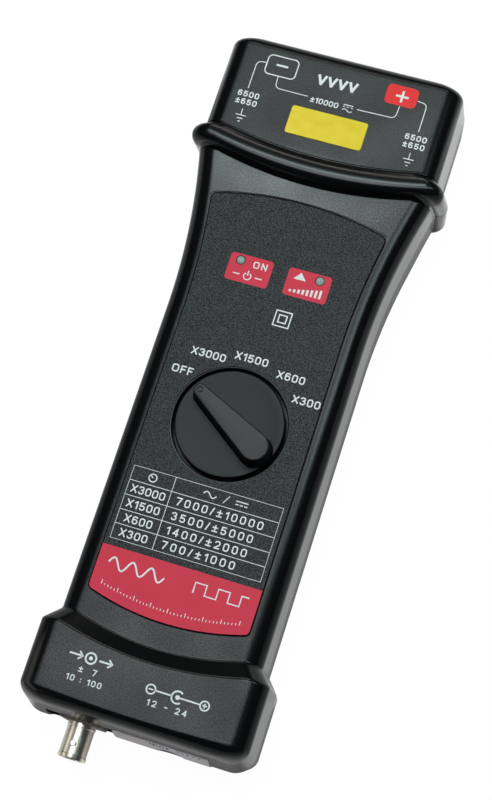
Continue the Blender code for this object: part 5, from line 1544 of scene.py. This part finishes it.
def base_print():
    """The marks over the output jack and the supply jack."""
    y = -88.7
    parts = [ring(1.75, -18.3, y, 0.6), disc(0.65, -18.3, y)]
    parts.append(lines([[(-25.6, y), (-21.2, y)], [(-15.4, y), (-11.2, y)]], 0.6))
    heads = [[(x - 1.5, y + 1.3), (x, y), (x - 1.5, y - 1.3)] for x in (-21.0, -10.8)]
    parts.append(lines(heads, 0.6))
    parts += figures("± 7", -18.0, -92.9, 2.1, 6.2)
    parts += figures("10 : 100", -18.2, -96.3, 2.0, 12.2)
    y = -92.3
    parts += [ring(1.5, 3.6, y, 0.5), ring(1.5, 21.9, y, 0.5), disc(0.75, 12.7, y)]
    parts.append(ring(2.0, 12.7, y, 0.55, 50, 310, False))
    parts.append(lines([[(5.1, y), (10.7, y)], [(12.7, y), (20.4, y)]], 0.5))
    signs = [[(2.8, y), (4.4, y)], [(21.1, y), (22.7, y)], [(21.9, y - 0.8), (21.9, y + 0.8)]]
    parts.append(lines(signs, 0.42))
    parts += figures("12 - 24", 10.4, -96.5, 2.1, 13.6)
    printed("base_print", parts, WHITE_INK, (0, DIAL_Y, BASE_DEPTH))


def end_label():
    """The pale strip on the output end, bent with the wall, and the plain bars printed on it."""
    low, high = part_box("end_label")
    up = high.z - PARTING_Z
    down = PARTING_Z - low.z
    lean = END_DRAFT
    wall = [(up, OUT_Y + lean * up), (0, OUT_Y), (-down, OUT_Y + lean * down)]
    thick = 0.35 * MM
    outline = [(y, PARTING_Z + z) for z, y in wall] + [(y - thick, PARTING_Z + z) for z, y in reversed(wall)]
    bm = bmesh.new()
    rings = [[bm.verts.new((x, y, z)) for y, z in outline] for x in (low.x, high.x)]
    strip = mesh_object("strip", skinned(bm, rings))
    hole = cross_cutter("label_hole", SUPPLY_HOLE, OUT_Y - 3 * MM, OUT_Y + 3 * MM, SUPPLY_X)
    built("end_label_strip", strip, cut(hole), "pale_plastic", "end_label")
    bars = ((6.2, 0.5), (7.2, 0.9), (8.6, 0.4), (9.5, 0.7), (10.8, 0.4), (11.8, 1.0))
    parts = [lines([[(x + width / 2, 7.2), (x + width / 2, 9.3)]], width) for x, width in bars]
    parts += figures("0 1 2 3 4", 19.6, 8.3, 1.5, 8.6)
    stand = Matrix.Rotation(math.pi / 2 - math.atan(lean), 4, "X")
    printed("label_print", parts, DARK_INK, (0, OUT_Y - thick, PARTING_Z), stand)


FLOOR_SIZE = 3.0
ROOM_LIGHT = 0.015


def glow_round_body(look):
    """How bright the white ground looks in the shell: dark at the foot as a painted contact shadow, brightest
    beside it, then fading.
    """
    axes = look.axes()
    along = axes["Y"]
    beyond = look.work("ABSOLUTE", along)
    off = look.work("ABSOLUTE", axes["X"])
    for width, start, end in ((7.7 * MM, 35 * MM, 90 * MM), (4.7 * MM, BASE_Y, BASE_Y - 5 * MM)):
        off = look.work("SUBTRACT", off, look.spread(along, 0.0, width, start, end))
    foot = GRIP_WIDTH / 2
    painted_foot_shadow = look.spread(off, 0.3, 1.0, foot + 1.5 * MM, foot + 5 * MM)
    fade = look.spread(off, 1.0, 0.5, foot + 6 * MM, foot + 20 * MM)
    far = look.spread(off, 1.0, 0.6, foot + 20 * MM, foot + 70 * MM)
    far_end = look.spread(beyond, 1.0, 0.3, 140 * MM, 190 * MM)
    beside = look.product(painted_foot_shadow, fade, far, far_end)
    past_end = look.product(look.spread(beyond, 0.0, 1.0, IN_Y, IN_Y + MM), far_end)
    towards_head = look.spread(along, 0.95, 1.6, 20 * MM, 110 * MM)
    return look.product(look.work("MAXIMUM", beside, past_end), towards_head)


def white_ground():
    """A floor that is plain white to the camera, and glows softly beside the object for the object alone."""
    bpy.ops.mesh.primitive_plane_add(size=FLOOR_SIZE, location=(0, 0, 0))
    floor = bpy.context.object
    floor.name = "floor"
    look = Finish("floor_white", 0.9, Specular_IOR_Level=0.0)
    look.shader.inputs["Base Color"].default_value = (0.93, 0.93, 0.93, 1.0)
    seen = look.add("ShaderNodeLightPath").outputs["Is Camera Ray"]
    strength = look.spread(seen, glow_round_body(look), 1.02, 0.0, 1.0)
    glow = look.add("ShaderNodeEmission", {"Color": (1, 1, 1, 1), "Strength": strength})
    share = look.spread(seen, 0.85, 0.96, 0.0, 1.0)
    mix = look.add("ShaderNodeMixShader", {0: share, 1: look.shader.outputs[0], 2: glow.outputs[0]})
    look.feed(look.tree.nodes["Material Output"], "Surface", mix.outputs[0])
    floor.data.materials.append(look.material)


def dark_room():
    """A world that is white to the camera and nearly dark to the object."""
    world = bpy.data.worlds.new("studio")
    world.use_nodes = True
    bpy.context.scene.world = world
    nodes = Nodes(world.node_tree)
    room = world.node_tree.nodes["Background"]
    room.inputs["Color"].default_value = (1, 1, 1, 1)
    room.inputs["Strength"].default_value = ROOM_LIGHT
    white = nodes.add("ShaderNodeBackground", {"Color": (1, 1, 1, 1), "Strength": 1.0})
    seen = nodes.add("ShaderNodeLightPath").outputs["Is Camera Ray"]
    mix = nodes.add("ShaderNodeMixShader", {0: seen, 1: room.outputs[0], 2: white.outputs[0]})
    nodes.feed(world.node_tree.nodes["World Output"], "Surface", mix.outputs[0])


BODY_MIDDLE = (0, 0, 0.02)
JACK_MIDDLE = (-0.022, -0.126, 0.02)
# Each soft light's name, place, size, power and colour, and the point it faces
LIGHTS = (
    ("softbox_over_face", (-0.16, 0.0, 1.05), (0.4, 0.34), 2.7, (0.97, 0.95, 1.0), BODY_MIDDLE),
    ("softbox_over_head", (-0.13, 0.4, 1.02), (0.46, 0.22), 3.8, (0.86, 1.0, 0.99), BODY_MIDDLE),
    ("softbox_low_back", (-0.1, 1.0, 0.72), (0.7, 0.12), 1.6, (1.0, 0.95, 0.88), BODY_MIDDLE),
    ("card_by_jack", (-0.075, -0.142, 0.055), (0.1, 0.03), 0.01, (1.0, 0.97, 0.86), JACK_MIDDLE),
    ("softbox_right", (0.35, 0.2, 1.0), (0.14, 0.9), 3.0, (0.82, 1.0, 1.0), BODY_MIDDLE),
)


def soft_lights():
    """Four large soft lights and a small card, so that flat faces catch light and edges don't."""
    for name, place, size, power, colour, aim in LIGHTS:
        light = bpy.data.lights.new(name, "AREA")
        light.shape = "RECTANGLE"
        light.size, light.size_y = size
        light.energy = power
        light.color = colour
        made = bpy.data.objects.new(name, light)
        made.location = place
        made.rotation_euler = (Vector(aim) - Vector(place)).to_track_quat("-Z", "Y").to_euler()
        bpy.context.scene.collection.objects.link(made)


# The camera, as it stood: turns about its own Z, X and Y, and the dial's place in front of it
CAMERA_TURN = (math.radians(-18.28), math.radians(-13.88), math.radians(-9.88))
DIAL_FROM_CAMERA = (-5.55 * MM, -8.1 * MM, -605.8 * MM)
IMAGE_LONG = 800
FOCAL_PIXELS = 1800
SENSOR_WIDTH = 36.0


def camera():
    lens = bpy.data.cameras.new("camera")
    lens.sensor_width = SENSOR_WIDTH
    lens.lens = SENSOR_WIDTH * FOCAL_PIXELS / IMAGE_LONG
    lens.clip_start = 0.01
    made = bpy.data.objects.new("camera", lens)
    about_z, about_x, about_y = CAMERA_TURN
    turn = Matrix.Rotation(about_z, 4, "Z") @ Matrix.Rotation(about_x, 4, "X")
    turn = turn @ Matrix.Rotation(about_y, 4, "Y")
    dial = Matrix.Translation((0, DIAL_Y, GRIP_DEPTH))
    made.matrix_world = dial @ turn.transposed() @ Matrix.Translation(-Vector(DIAL_FROM_CAMERA))
    bpy.context.scene.collection.objects.link(made)
    bpy.context.scene.camera = made


def dress_frame():
    """Gives every node that stays in sight its finish, by the record's slots."""
    slots = {entry["node"]: entry["material_slot"] for entry in frame["record"]["subparts"]}
    for name, node in frame["nodes"].items():
        node.data.materials.clear()
        node.data.materials.append(FINISHES[slots[name]])


bpy.context.scene.view_settings.view_transform = "Standard"
dress_frame()
front_shell()
rear_shell()
battery_door()
case_screws()
face_overlay()
yellow_sticker()
range_knob()
output_jack()
input_jacks()
supply_jack()
lamps()
battery()
head_print()
overlay_edge()
dial_print()
lamp_patches()
bottom_band()
base_print()
end_label()
camera()
white_ground()
dark_room()
soft_lights()
